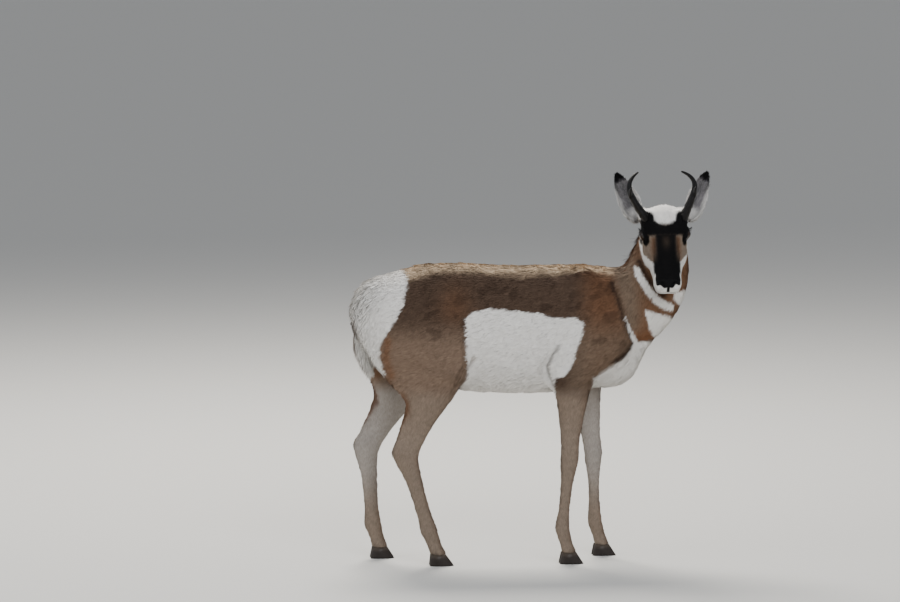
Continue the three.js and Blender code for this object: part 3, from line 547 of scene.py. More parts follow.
RUMP_PATCH = [
    (396, 262), (408, 276), (407, 291), (403, 307), (396, 321), (388, 333), (381, 344), (380.5, 356),
    (385, 372), (388, 388), (380, 396), (350, 396), (340, 340), (340, 262)]
FLANK_PATCH = [
    (465.6, 319), (473, 312.4), (489, 308.5), (516, 311.4), (541, 313.4), (551, 318), (575, 318),
    (583, 322), (583, 333), (577.5, 348), (570.7, 368), (565, 376), (556, 378), (556, 402), (456, 402),
    (461, 388), (468, 374), (466, 362)]
CHEST_PATCH = [
    (625, 317), (630, 330), (637, 341.5), (662, 341.5), (690, 341), (690, 402), (596, 402), (591, 388),
    (594, 378), (609, 368), (622, 359.5), (630, 350), (633, 343), (629, 334)]
CRESCENT = [
    (634.5, 266), (639.5, 268.5), (644, 277), (651, 288), (659, 297), (668, 302), (674, 305), (672.5, 311),
    (664, 309.5), (654.5, 303.5), (646.5, 294.5), (639.5, 284), (635, 274)]
THROAT_PATCH = [
    (644.8, 310), (654, 312), (664, 315), (675, 318), (680, 324), (664, 340), (653.5, 337), (648.6, 328)]
THROAT_RIGHT = [(674, 293), (690, 288), (692, 303), (680, 306), (673, 299)]
# A dark line down the front of the shoulder and along its lower edge; along the lower edge it is painted
# shade under the shoulder.
SHOULDER_LINE = [
    (612, 284), (618, 300), (626, 328), (633, 342), (626, 353), (609, 367), (589, 376), (562, 378)]
JAW_LINE = [(639.5, 262), (644, 272), (649.5, 281), (656, 289), (663, 295)]
LOW_COLLAR = [(636, 341), (646, 338), (660, 337), (672, 334)]


def ripple(points, size, seed):
    """Smooth noise from -1 to 1, made of a few turned waves."""
    draw = np.random.default_rng(seed)
    total = np.zeros(len(points))
    for k in range(7):
        way = unit(draw.normal(size=3)) * (2 * math.pi / (size * draw.uniform(0.6, 1.5)))
        total += np.sin(points @ way + draw.uniform(0, 6.28) + 1.6 * np.sin(points @ np.roll(way, 1) * 0.7))
    return total / 4.2


def over(base, top, share):
    """Lays a colour over the base, which is changed."""
    base += (top - base) * np.asarray(share)[:, None]
    return base


def markings(body, normal):
    u, v = near_side(body)
    rough = mix(1.0, 0.45, ramp(0.36, 0.42, body[:, 0]))
    u = u + rough * (0.8 * ripple(body, 0.018, 3) + 0.5 * ripple(body, 0.007, 4))
    v = v + rough * (0.8 * ripple(body, 0.016, 5) + 0.4 * ripple(body, 0.006, 6))
    x, _, z = body.T
    up = normal[:, 2]
    # Trunk, from the dark back through rusty shoulder to tan thigh.
    c = np.tile(BACK_BROWN, (len(body), 1))
    over(c, RUST, ramp(570, 602, u) * 0.6)
    over(c, RUST, 0.35 * bump(np.hypot(u - 455, (v - 306) * 0.8), 16))
    over(c, TAUPE, ramp(560, 580, u) * ramp(305, 350, v) * 0.75)
    over(c, THIGH, ramp(315, 352, v) * ramp(475, 455, u))
    # Where the skin faces up along the top of the back: the coat's tan made pale with painted sunlight.
    over(c, SUNLIT_SPINE_TAN, ramp(0.74, 0.95, up) * (0.75 + 0.2 * ripple(body, 0.03, 8)) * (z > 0.8))
    over(c, RUST, 0.7 * beside(u, v, [(388, 340), (386, 358), (392, 376)], 4))
    over(c, DARK, 0.35 * ramp(0.25, 0.6, ripple(body, 0.05, 9)) * (v < 345) * (u > 420) * (u < 640))
    # Neck.
    neck = ramp(612, 626, u + (v - 300) * -0.25) * (z > 0.66)
    over(c, TAUPE, neck)
    over(c, RUST, neck * beside(u, v, LOW_COLLAR, 9))
    over(c, RUST, neck * ramp(630, 650, u) * 0.7)
    _, _, _, ahead, side = throat_frame(body)
    nape = ramp(0.2, 0.75, -ahead / np.maximum(np.hypot(ahead, side), 1e-6)) * ramp(0.80, 0.86, z)
    over(c, RUST * 0.8, nape * ramp(0.37, 0.43, x) * 0.7)
    # Dark line round the shoulder; under the shoulder it is painted shade.
    over(c, DARK, 0.85 * beside(u, v, SHOULDER_LINE, 2.6) * (z > 0.6))
    over(c, DARK, 0.9 * beside(u, v, JAW_LINE, 3.4) * (z > 0.74))
    # Legs: tan outside, paler inside, darker down the front.
    leg = ramp(0.545, 0.49, z)
    inner = ramp(0.1, 0.5, -normal[:, 1] * np.sign(body[:, 1]))
    tan = np.tile(LEG_TAN, (len(body), 1))
    over(tan, THIGH, 0.6 * ramp(0.3, 0.9, normal[:, 0]) + 0.3 * ramp(0.34, 0.5, z))
    over(tan, WHITE * 0.6, inner * 0.45 * ramp(0.12, 0.3, z))
    over(c, tan, leg)
    rear = (x < -0.1) & (z > 0.33) & (z < 0.62)
    over(c, RUST * 0.8, rear * ramp(-0.5, -0.85, normal[:, 0]) * ramp(0.36, 0.44, z) * 0.8)
    # The white patches.
    seen = np.zeros(len(body))
    for patch, soft in ((RUMP_PATCH, 1.2), (FLANK_PATCH, 1.1), (CHEST_PATCH, 1.4)):
        seen = np.maximum(seen, inside(u, v, patch, soft) * ramp(0.455, 0.5, z))
    belly = ramp(-0.45, -0.75, up) * ramp(0.47, 0.5, z) * (x > -0.3) * (z < 0.62)
    rump_back = ramp(-0.70, -0.86, normal[:, 0]) * (x < -0.33) * ramp(0.55, 0.6, z)
    seen = np.maximum(seen, np.maximum(belly, rump_back))
    for patch in (CRESCENT, THROAT_PATCH, THROAT_RIGHT):
        seen = np.maximum(seen, inside(u, v, patch, 1.0) * (z > 0.65) * (x > 0.37))
    over(c, WHITE, seen)
    # A taupe line where the tail hangs over the buttock: painted shade between the tail and the buttock.
    tail = beside(u, v, [(356, 322), (361, 341), (369, 359), (375, 367)], 2.2)
    over(c, TAUPE, 0.6 * tail * (z > 0.6) * (x < -0.36))
    # Painted shade in the elbow crease and in the flank crease.
    over(c, DARK * 0.8 + TAUPE * 0.2, 0.55 * beside(u, v, ELBOW_FOLD, 2.0) * (z > 0.5))
    over(c, TAUPE, 0.6 * beside(u, v, FLANK_FOLD, 2.2) * (z > 0.5))
    # Head.
    head = to_head(body) * 1000
    return over(c, face(head, body), head_share(body))


def face(head, body):
    t, s, h = head[:, 0], np.abs(head[:, 1]), head[:, 2]
    rough = 0.6 * ripple(body, 0.010, 13) + 0.5 * ripple(body, 0.004, 14)
    low = 211.3 + 0.281 * t - 0.1895 * h + rough * 0.7
    wide = s / 2.95 + rough * 0.6
    close = 0.558 * t + 0.828 * h
    c = np.tile(FACE_TAN, (len(head), 1))
    over(c, TAUPE, ramp(60, 20, close) * 0.7)
    over(c, RUST, 0.35 * bump(wide - 12.5, 3) * ramp(236, 242, low))
    cheek = ramp(-1, 1.5, low - 252.5 - (24 - np.minimum(wide, 24)))
    jaw = np.interp(t, [10, 60, 100, 150, 200], [-56, -46, -38, -26, -14])
    under = ramp(3, -3, h - jaw + rough * 2)
    over(c, WHITE, np.maximum(cheek, under * ramp(20, 60, t)))
    over(c, WHITE * 0.93, ramp(227.5, 224.5, low) * ramp(-4, 16, h))
    half = np.interp(low, [236, 243, 258, 276, 290], [10.8, 11.4, 13.0, 13.4, 12.2])
    floor = np.interp(t, [150, 205, 262], [8, 8, 9])
    blaze = ramp(1.2, -1.2, wide - half) * ramp(234, 237, low) * ramp(-10, -4, h - floor)
    edge = bump(wide - 11.8, 2.6) * ramp(236, 240, low) * ramp(262, 250, low)
    over(c, RUST * 0.5, edge * 0.8)
    over(c, BLACK, blaze * (1 - 0.55 * bump(wide - 11.5, 1.8) * ramp(266, 250, low)))
    # A paler spot in the middle of the black blaze: painted sheen.
    over(c, TAUPE * 0.35, 0.45 * bump(wide, 3.5) * bump(low - 243, 6) * (close > 60))
    band = ramp(-2, 2, low - 226 + 0.04 * np.minimum(wide, 12) ** 2) * ramp(239, 235, low)
    over(c, BLACK, band * ramp(16, 36, close) * ramp(32, 29, wide))
    for sign in SIDES.values():
        centre, _, long, rise = eye_frame(sign)
        away = head - centre * 1000
        round_eye = np.hypot(away @ long / 34, away @ rise / 25)
        over(c, BLACK, ramp(1.12, 0.92, round_eye + rough * 0.05) * (head[:, 1] * sign > 0))
        pale = np.hypot((away @ long + 20) / 26, (away @ rise + 34) / 14)
        over(c, WHITE * 0.9, 0.6 * ramp(1.1, 0.8, pale) * (head[:, 1] * sign > 0))
        patch = length(head - np.array([58, sign * 52, -48]))
        over(c, DARK * 0.6, 0.9 * ramp(32, 24, patch + rough * 2))
    # Black horn roots, nose, and the dark line of the mouth in white lips.
    root = np.hypot((t - 66) * np.where(t > 66, 0.7, 1.0), s - 57)
    over(c, BLACK, ramp(28, 21, root) * ramp(18, 28, h))
    border = np.interp(s, [0, 10, 18, 24, 34], [5, 6, 7, 7, 9])
    over(c, BLACK, ramp(236, 250, t) * ramp(-1.5, 1.5, h - border))
    over(c, WHITE, ramp(1.5, -1.5, h - border) * ramp(225, 240, t))
    nostril, _ = line_distance(s, h, NOSTRIL)
    over(c, BLACK, ramp(8, 6, nostril) * ramp(240, 250, t))
    groove = ramp(5.5, 3.5, s) * ramp(250, 256, t)
    over(c, BLACK, groove * ramp(-27, -24, h) * ramp(12, 8, h))
    over(c, BLACK, 0.9 * mouth_line(head / 1000) * ramp(206, 215, t))
    return c


# Which way the coat lies, how long and wide its tufts are, and how far they stand off.
def lie(body, normal):
    z = body[:, 2]
    rump = ramp(-0.30, -0.40, body[:, :1])
    flow = mix(np.array([-0.86, 0.0, -0.42]), np.array([-0.35, 0.0, -0.94]), rump * 0.8)
    leg = ramp(0.56, 0.46, z)[:, None]
    flow = mix(flow, np.array([-0.10, 0.0, -1.0]), leg)
    neck = (ramp(0.30, 0.42, body[:, 0]) * ramp(0.62, 0.74, z))[:, None]
    down = np.stack([np.interp(z, [0.7, 0.8, 0.9], [-0.75, -0.5, -0.1]), 0 * z, -0.9 + 0 * z], 1)
    flow = mix(flow, down, neck)
    head = to_head(body)
    on_head = head_share(body, 0.015)[:, None]
    back = np.stack([-0.95 + 0 * z, 0.12 * np.sign(head[:, 1]), -0.18 + 0 * z], 1) @ HEAD
    flow = mix(flow, back, on_head)
    return unit(laid_flat(flow, normal))


def coat_sizes(body, normal):
    """Length, width, lift of the tip as a share of the length, and tufts to a square metre."""
    x, _, z = body.T
    t, _, h = to_head(body).T * 1000
    long = np.full(len(body), 0.021)
    rise = np.full(len(body), 0.135)
    many = np.full(len(body), 1.0)
    rump = ramp(-0.32, -0.38, x) * ramp(0.56, 0.62, z)
    long = mix(long, 0.030, rump)
    rise = mix(rise, 0.24, rump)
    many = mix(many, 1.5, rump)
    crest = ramp(0.8, 0.95, normal[:, 2]) * (z > 0.8)
    long = mix(long, 0.023, crest)
    many = mix(many, 1.5, crest)
    long = mix(long, 0.016, ramp(0.37, 0.43, x))
    leg = ramp(0.54, 0.44, z)
    long = mix(long, 0.0115, leg)
    rise = mix(rise, 0.12, leg)
    many = mix(many, 2.2, leg)
    on_head = head_share(body, 0.01)
    shorter = np.interp(t, [0, 30, 60, 110, 200, 260], [15, 14, 12, 8, 6, 4]) / 1000
    long = mix(long, shorter, on_head)
    crown = on_head * ramp(82, 66, t) * ramp(10, 30, h)
    rise = mix(rise, 0.14, on_head)
    rise = mix(rise, 0.24, crown)
    denser = np.interp(t, [0, 60, 110, 200, 260], [1.5, 2.1, 3.4, 4.4, 4.8])
    wide = long * np.interp(long, [0.004, 0.02, 0.023, 0.03], [0.20, 0.12, 0.085, 0.07])
    return long, wide, rise, mix(many, denser, on_head)


def bare(body):
    """Where no tufts grow: the eyes and their lids' edges, the nose and the inside of the mouth."""
    head = to_head(body)
    skip = (head[:, 0] > 0.262) & (head[:, 2] > 0.006) & (body[:, 2] > 0.78)
    skip |= (mouth_line(head) > 0.3) & (head[:, 0] > 0.2) & (body[:, 2] > 0.78)
    for sign in SIDES.values():
        centre, out, _, _ = eye_frame(sign)
        away = head - centre
        skip |= (length(away) < EYE["radius"] + 0.0045) & (away @ out > -0.002)
    return skip


def unwrap(body):
    """Each point's place on an unwrap of the skin, with trunk, neck, head and each leg apart."""
    x, y, z = body.T
    u, v = np.zeros(len(body)), np.zeros(len(body))
    head = to_head(body)
    on_head = past_hinge(body) > 0
    leg = z < 0.5
    neck = (x > 0.372) & ~on_head & ~leg
    trunk = ~(on_head | leg | neck)
    angle = np.arctan2(y, z - 0.68) / (2 * math.pi) + 0.5
    u = np.where(trunk, 0.02 + 0.96 * (x + 0.45) / 0.85, u)
    v = np.where(trunk, 0.51 + 0.48 * angle, v)
    _, _, _, ahead, side = throat_frame(body)
    turn = np.arctan2(side, -ahead) / (2 * math.pi) + 0.5
    u = np.where(neck, 0.02 + 0.22 * turn, u)
    v = np.where(neck, 0.02 + 0.47 * (z - 0.55) / 0.5, v)
    spin = np.arctan2(head[:, 1], head[:, 2] + 0.01) / (2 * math.pi) + 0.5
    u = np.where(on_head, 0.26 + 0.26 * spin, u)
    v = np.where(on_head, 0.02 + 0.47 * head[:, 0] / 0.3, v)
    for k, (end, side_sign) in enumerate(((1, 1), (1, -1), (-1, 1), (-1, -1))):
        own = leg & (np.sign(x) == end) & (np.sign(y) == side_sign)
        if own.any():
            low = np.interp(z[own], *leg_line(x[own], z[own]))
            round_leg = np.arctan2(y[own] - side_sign * 0.077, x[own] - low) / (2 * math.pi) + 0.5
            u[own] = 0.54 + 0.11 * (k + 0.9 * round_leg)
            v[own] = 0.02 + 0.47 * z[own] / 0.5
    return np.stack([np.clip(u, 0.004, 0.996), np.clip(v, 0.004, 0.996)], 1)


def leg_line(x, z):
    levels = np.linspace(z.min(), z.max() + 1e-6, 30)
    cell = np.digitize(z, levels)
    filled = [k for k in range(1, len(levels) + 1) if (cell == k).any()]
    return levels[np.array(filled) - 1], np.array([x[cell == k].mean() for k in filled])


def sample(mesh, weight_of, total, seed):
    """Random places on a mesh, in number by area and weight, with the normals there."""
    draw = np.random.default_rng(seed)
    mesh.calc_loop_triangles()
    corners = table(mesh.loop_triangles, "vertices", 3, np.int32)
    points, normals = mesh_points(mesh), mesh_normals(mesh)
    a, b, c = points[corners[:, 0]], points[corners[:, 1]], points[corners[:, 2]]
    area = length(np.cross(b - a, c - a)) / 2
    weight = area * weight_of((a + b + c) / 3, unit(normals[corners].sum(1)))
    pick = draw.choice(len(corners), total, p=weight / weight.sum())
    p, q = draw.random(total), draw.random(total)
    flip = p + q > 1
    p, q = np.where(flip, 1 - p, p), np.where(flip, 1 - q, q)
    r = 1 - p - q
    places = a[pick] * r[:, None] + b[pick] * p[:, None] + c[pick] * q[:, None]
    n = normals[corners[pick]]
    return places, unit(n[:, 0] * r[:, None] + n[:, 1] * p[:, None] + n[:, 2] * q[:, None]), draw


def hair_mesh(name, points, index, colours, spots):
    """Triangles with a colour for each point, and each point's place in the bake map."""
    mesh = bpy.data.meshes.new(name)
    mesh.vertices.add(len(points))
    mesh.vertices.foreach_set("co", points.astype(np.float32).ravel())
    mesh.loops.add(len(index))
    mesh.loops.foreach_set("vertex_index", index.astype(np.int32))
    mesh.polygons.add(len(index) // 3)
    mesh.polygons.foreach_set("loop_start", np.arange(0, len(index), 3, dtype=np.int32))
    mesh.update(calc_edges=True)
    mesh.polygons.foreach_set("use_smooth", np.ones(len(index) // 3, bool))
    paint_points(mesh, colours)
    mesh.uv_layers.new(name="OFBake").data.foreach_set("uv", spots[index].astype(np.float32).ravel())
    return placed(name, mesh)


def tuft_mesh(name, roots, normals, ways, long, wide, rise, colours, spots):
    """Flat bent tufts, each a closed four-faced sliver from its root over a raised middle to its tip."""
    count = len(roots)
    side = unit(np.cross(normals, ways))
    middle = roots + ways * (long * 0.42)[:, None] + normals * (long * rise * 0.75)[:, None]
    tip = roots + ways * long[:, None] + normals * (long * rise)[:, None]
    half = side * (wide / 2)[:, None]
    points = np.stack([roots - normals * 0.0006, middle - half, middle + half, tip], 1).reshape(-1, 3)
    base = np.arange(count)[:, None] * 4
    corners = np.array([0, 1, 2, 1, 3, 2, 0, 3, 1, 0, 2, 3])
    index = (base + corners).ravel()
    shade = colours[:, None, :] * np.array([0.88, 1.0, 1.0, 1.06])[None, :, None]
    patch = np.array([[0, -0.0015], [-0.0013, 0.0002], [0.0013, 0.0002], [0, 0.0015]])
    flat = (spots[:, None, :] + patch[None]).reshape(-1, 2)
    tufts = hair_mesh(name, points, index, shade.reshape(-1, 3), flat)
    lean = np.stack([normals - ways * 0.1, normals - side * 0.22, normals + side * 0.22,
                     normals + ways * 0.15], 1).reshape(-1, 3)
    facing = np.tile(np.repeat([1.0, 1.0, -1.0, -1.0], 3), count)
    tufts.data.normals_split_custom_set((unit(lean)[index] * facing[:, None]).astype(np.float32))
    return tufts


def coat_region(body):
    """Numbers the pieces the coat is made in."""
    x, y, z = body.T
    name = np.digitize(x, [-0.24, -0.02, 0.19], right=True)
    leg = 4 + 2 * (x > 0) + (y > 0)
    name = np.where(z < 0.5, leg, name)
    name = np.where((x > 0.372) & (z > 0.5), 8, name)
    return np.where(past_hinge(body) > 0, 9, name)


COAT_NAMES = ["rump", "loin", "ribs", "shoulder", "leg_hind_right", "leg_hind_left", "leg_front_right",
              "leg_front_left", "neck", "head"]


def make_coat(skin, material, total):
    def weight_of(points, normals):
        body = points - SHIFT
        return coat_sizes(body, normals)[3] * ~bare(body)

    roots, normals, draw = sample(skin.data, weight_of, total, SEED)
    body = roots - SHIFT
    keep = ~bare(body) & (body[:, 2] > 0.036)
    roots, normals, body = roots[keep], normals[keep], body[keep]
    count = len(roots)
    long, wide, rise, _ = coat_sizes(body, normals)
    ways = lie(body, normals)
    side = np.cross(normals, ways)
    swing = 0.16 * draw.normal(size=count) + 0.22 * ripple(body, 0.035, 21) + 0.15 * ripple(body, 0.012, 22)
    ways = unit(ways + side * swing[:, None])
    long = long * draw.uniform(0.72, 1.2, count)
    wide = wide * draw.uniform(0.75, 1.2, count)
    rise = rise * draw.uniform(0.5, 1.45, count) * (1 + 0.35 * ripple(body, 0.02, 23))
    colours = markings(body + ways * (long * 0.55)[:, None], normals)
    vary = 0.07 * draw.normal(size=count) + 0.09 * ripple(body, 0.015, 24)
    vary = vary * np.interp(colours.mean(1), [0.1, 0.7], [1.2, 0.35])
    colours = colours * np.clip(1 + vary, 0.55, 1.5)[:, None]
    tufts = (roots, normals, ways, long, wide, rise, colours, unwrap(body))
    region = coat_region(body)
    for k, name in enumerate(COAT_NAMES):
        own = region == k
        if not own.any():
            continue
        dress(tuft_mesh("coat_" + name, *(values[own] for values in tufts)), material)


def colour_material(name, roughness, grain=0.0, bump_size=0.0, scale=900, shine=0.25):
    material = bpy.data.materials.new(name)
    material.use_nodes = True
    nodes, links = material.node_tree.nodes, material.node_tree.links
    shader = nodes["Principled BSDF"]
    shader.inputs["Roughness"].default_value = roughness
    shader.inputs["Specular IOR Level"].default_value = shine

    def node(kind, **values):
        fresh = nodes.new("ShaderNode" + kind)
        for socket, value in values.items():
            fresh.inputs[socket.replace("_", " ")].default_value = value
        return fresh

    paint = node("Attribute")
    paint.attribute_name = "coat_colour"
    source = paint.outputs["Color"]
    if grain:
        noise = node("TexNoise", Scale=scale, Detail=3)
        spread = node("MapRange", To_Min=1 - grain, To_Max=1 + grain)
        product = node("VectorMath")
        product.operation = "MULTIPLY"
        links.new(node("TexCoord").outputs["Object"], noise.inputs["Vector"])
        links.new(noise.outputs["Fac"], spread.inputs["Value"])
        links.new(source, product.inputs[0])
        links.new(spread.outputs["Result"], product.inputs[1])
        source = product.outputs["Vector"]
        relief = node("Bump", Distance=bump_size)
        links.new(noise.outputs["Fac"], relief.inputs["Height"])
        links.new(relief.outputs["Normal"], shader.inputs["Normal"])
    links.new(source, shader.inputs["Base Color"])
    return material


# Eyes: a dark wet ball with a level slit of a pupil.
def make_eyes():
    for name, sign in SIDES.items():
        centre, out, long, rise = eye_frame(sign)
        mesh = bpy.data.meshes.new("eyeball_" + name)
        with edited(mesh) as shape:
            bmesh.ops.create_uvsphere(shape, u_segments=64, v_segments=48, radius=1)
        x, y, depth = unit(mesh_points(mesh)).T
        ball = np.stack([x, y, depth], 1) @ np.array([long, rise, out]) * EYE["radius"]
        bulge = 1 + 0.03 * np.clip((depth - 0.86) / 0.14, 0, 1)
        set_points(mesh, from_head(ball * bulge[:, None] + centre) + SHIFT)
        with edited(mesh) as shape:
            bmesh.ops.recalc_face_normals(shape, faces=shape.faces)
            if shape.calc_volume(signed=True) < 0:
                bmesh.ops.reverse_faces(shape, faces=shape.faces)
        mesh.shade_smooth()
        c = np.tile(colour(26, 19, 15), (len(ball), 1))
        over(c, colour(40, 25, 16), ramp(0.66, 0.56, np.hypot(x, y)))
        over(c, colour(8, 7, 9), ramp(1.1, 0.9, np.hypot(x / 0.36, y / 0.15)))
        eye = placed("eyeball_" + name, mesh)
        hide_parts("eye_" + name)
        dress(eye, colour_material("eye_" + name, 0.09, shine=0.5), c)


def refined_copy(name, node, levels, rounds):
    obj = joined_copy(name, [node], grow=0.0)
    with edited(obj.data) as shape:
        bmesh.ops.remove_doubles(shape, verts=shape.verts, dist=0.00004)
    if levels:
        subdivide = obj.modifiers.new("finer", "SUBSURF")
        subdivide.levels = levels
        subdivide.subdivision_type = "CATMULL_CLARK"
        applied(obj)
    mesh = obj.data
    if rounds:
        set_points(mesh, averaged(mesh_points(mesh), mesh_edges(mesh), len(mesh.vertices), rounds, 0.5))
    mesh.shade_smooth()
    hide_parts(node)
    return obj


# Horns: black sheaths, ridged and rough at the root, smooth at the hooked tip.
def make_horns():
    material = colour_material("horn_sheath", 0.45, 0.25, 0.0006, 260, 0.18)
    for name in SIDES:
        horn = refined_copy("horn_sheath_" + name, "horn_" + name, 2, 3)
        mesh = horn.data
        points, normals = mesh_points(mesh), mesh_normals(mesh)
        body = points - SHIFT
        low, high = body[:, 2].min(), body[:, 2].max()
        up = (body[:, 2] - low) / (high - low)
        rough = ramp(0.75, 0.15, up)
        ridges = np.sin(up * 70 + 2.5 * ripple(body, 0.03, 31)) * 0.0005 + 0.0008 * ripple(body, 0.012, 32)
        set_points(mesh, points + normals * (ridges * rough + 0.0006)[:, None])
        c = np.tile(colour(9, 8, 8), (len(body), 1))
        over(c, colour(36, 30, 26), 0.35 * rough * (0.5 + 0.5 * ripple(body, 0.008, 33)))
        dress(horn, material, c)


def make_hooves():
    material = colour_material("hoof_horn", 0.38, 0.22, 0.0004, 300)
    for end in ("front", "hind"):
        for name in SIDES:
            for toe in ("outer", "inner"):
                node = f"hoof_{end}_{name}_{toe}"
                hoof = refined_copy(node.replace("hoof", "toe"), node, 0, 0)
                mesh = hoof.data
                with edited(mesh) as shape:
                    bmesh.ops.dissolve_limit(shape, angle_limit=0.05, verts=shape.verts, edges=shape.edges)
                    bmesh.ops.bevel(shape, geom=list(shape.edges), offset=0.0012, segments=2, affect="EDGES")
                mesh.shade_smooth()
                body = mesh_points(mesh) - SHIFT
                c = np.tile(colour(44, 38, 35), (len(body), 1))
                over(c, colour(92, 80, 68), 0.45 * ramp(0.02, 0.034, body[:, 2]))
                dress(hoof, material, c)


# Ears: thin cups, dark down the middle inside, black at the tip, with pale hair inside and round the rim.
def ear_axes(sign):
    root = from_head(np.array([[0.030, sign * 0.071, -0.016]]))[0]
    rise = unit(np.array([sign * 0.42, 0.16, 0.9]))
    front = np.array([sign * 0.26, -0.96, 0.1])
    front = unit(front - rise * (front @ rise))
    return root, rise, front, np.cross(rise, front) * -sign


def ear_colours(body, normal, sign):
    root, rise, front, across = ear_axes(sign)
    away = body - root
    up, wide = away @ rise / 0.160, away @ across
    inner = ramp(-0.1, 0.25, normal @ front)
    outside = np.tile(colour(138, 120, 102), (len(body), 1))
    over(outside, WHITE * 0.85, 0.6 * ramp(0.35, 0.05, up))
    hollow = np.tile(colour(112, 108, 112), (len(body), 1))
    middle = bump(wide, 0.014) * ramp(0.12, 0.3, up) * ramp(0.98, 0.7, up)
    over(hollow, colour(44, 42, 48), 0.9 * middle)
    over(hollow, WHITE * 0.85, 0.8 * ramp(0.3, 0.12, up))
    c = outside + (hollow - outside) * inner[:, None]
    tip = ramp(0.76, 0.86, up + 0.03 * ripple(body, 0.01, 41))
    edge = ramp(0.010, 0.018, -wide) * ramp(0.45, 0.75, up)
    return over(c, BLACK, np.maximum(tip, edge * 0.8))


def make_ears(fur):
    skin_paint = colour_material("ear_skin", 0.7, 0.15, 0.0004, 700)
    for name, sign in SIDES.items():
        ear = refined_copy("ear_cup_" + name, "ear_" + name, 2, 2)
        mesh = ear.data
        points, normals = mesh_points(mesh), mesh_normals(mesh)
        root, rise, front, across = ear_axes(sign)
        dress(ear, skin_paint, ear_colours(points - SHIFT, normals, sign) * 0.8)
        roots, normal, draw = sample(mesh, lambda points, _: np.ones(len(points)), EAR_TUFTS, SEED + 7 + sign)
        body = roots - SHIFT
        away = body - root
        up, wide = away @ rise / 0.160, away @ across
        inner = normal @ front > 0.1
        rim = np.abs(normal @ front) < 0.45
        spread = 0.25 * np.sign(wide) * draw.uniform(0, 1, len(body)) * inner
        way = np.tile(rise, (len(body), 1)) + across * spread[:, None]
        way = unit(laid_flat(way, normal) + normal * 0.1)
        way = unit(way + np.cross(normal, way) * (0.2 * draw.normal(size=len(body)))[:, None])
        long = np.where(inner, 0.0095, 0.0075) * draw.uniform(0.7, 1.2, len(body))
        long = np.where(inner & (up < 0.5), long * 1.5, long)
        long = np.where(rim, long * 0.85, long) * np.interp(up, [0, 0.8, 1.02], [1.1, 0.9, 0.55])
        raised = np.where(inner & ~rim, 0.16, 0.10) * draw.uniform(0.6, 1.3, len(body))
        c = ear_colours(body, normal, sign)
        over(c, WHITE * 0.8, np.where(inner & (up < 0.8), 0.25 * draw.random(len(body)), 0.0))
        over(c, WHITE * 0.9, ramp(0.019, 0.026, np.abs(wide)) * ramp(0.82, 0.7, up) * 0.7)
        spots = np.stack([0.03 + 0.94 * np.clip(up, 0, 1),
                          0.25 + 0.5 * (~inner) + 0.2 * np.clip(wide / 0.035, -1, 1)], 1)
        dress(tuft_mesh("ear_hair_" + name, roots, normal, way, long, long * 0.11, raised,
                        c * draw.uniform(0.85, 1.12, (len(body), 1)), spots), fur)


# Longer hair: each strand a tapering closed prism through a few bent steps.
def strand_mesh(name, roots, ways, lies, out, long, wide, bend, colours, spots, steps=4, tip_colour=None):
    count = len(roots)
    spot = roots
    way = unit(ways)
    rings, shades = [], []
    for k in range(steps):
        t = k / steps
        side = unit(np.cross(way, out))
        flat = unit(np.cross(side, way))
        w = (wide / 2 * (1 - 0.5 * t * t))[:, None]
        rings.append(np.stack([spot + side * w, spot + flat * w * 0.4, spot - side * w], 1))
        base = colours if tip_colour is None else over(colours.copy(), tip_colour, np.full(count, t ** 1.5))
        shades.append(np.repeat(base[:, None, :] * (0.75 + 0.35 * t), 3, axis=1))
        spot = spot + way * (long / steps)[:, None]
        way = unit(way + lies * (bend / steps)[:, None])
    tip = colours if tip_colour is None else np.tile(tip_colour, (count, 1))
    points = np.concatenate([np.concatenate(rings, 1), spot[:, None, :]], 1)
    shades = np.concatenate([np.concatenate(shades, 1), tip[:, None, :]], 1)
    each = steps * 3 + 1
    corners = [0, 1, 2]
    for k in range(steps - 1):
        for s in range(3):
            a, b = k * 3 + s, k * 3 + (s + 1) % 3
            corners += [a, a + 3, b + 3, a, b + 3, b]
    for s in range(3):
        a, b = (steps - 1) * 3 + s, (steps - 1) * 3 + (s + 1) % 3
        corners += [a, each - 1, b]
    index = (np.arange(count)[:, None] * each + np.array(corners)).ravel()
    along = np.concatenate([np.repeat(np.linspace(-0.0015, 0.001, steps), 3), [0.0015]])
    across = np.concatenate([np.tile([-0.001, 0, 0.001], steps), [0]])
    flat = (spots[:, None, :] + np.stack([across, along], 1)[None]).reshape(-1, 2)
    return hair_mesh(name, points.reshape(-1, 3), index, shades.reshape(-1, 3), flat)


# The mane stands along the nape and falls back to the withers.
def make_mane(skin, fur):
    def on_nape(points, _):
        body = points - SHIFT
        _, _, _, ahead, side = throat_frame(body)
        angle = np.degrees(np.arctan2(side, -ahead))
        own = (body[:, 0] > 0.38) & (body[:, 2] > 0.85) & (past_hinge(body) < 0.01)
        return own * bump(angle, 18) * (np.abs(angle) < 38) + 1e-12

    roots, normals, draw = sample(skin.data, on_nape, MANE_STRANDS, SEED + 3)
    body = roots - SHIFT
    count = len(roots)
    ahead = np.interp(body[:, 2], [0.8, 0.9, 1.0], [-0.9, -0.45, 0.05])
    down = np.stack([ahead, np.full(count, 0.05), np.full(count, -0.8)], 1)
    down = unit(laid_flat(down, normals))
    side = np.cross(normals, down)
    ways = normals * draw.uniform(0.16, 0.40, (count, 1)) + down
    ways = unit(ways + side * draw.normal(0, 0.14, (count, 1)))
    long = draw.uniform(0.034, 0.054, count)
    base = np.tile(RUST * 0.7, (count, 1)) * draw.uniform(0.7, 1.2, (count, 1))
    wide = draw.uniform(0.0014, 0.0024, count)
    dress(strand_mesh("mane", roots - normals * 0.001, ways, down, normals, long, wide,
                      np.full(count, 0.9), base, unwrap(body), 4, DARK), fur)


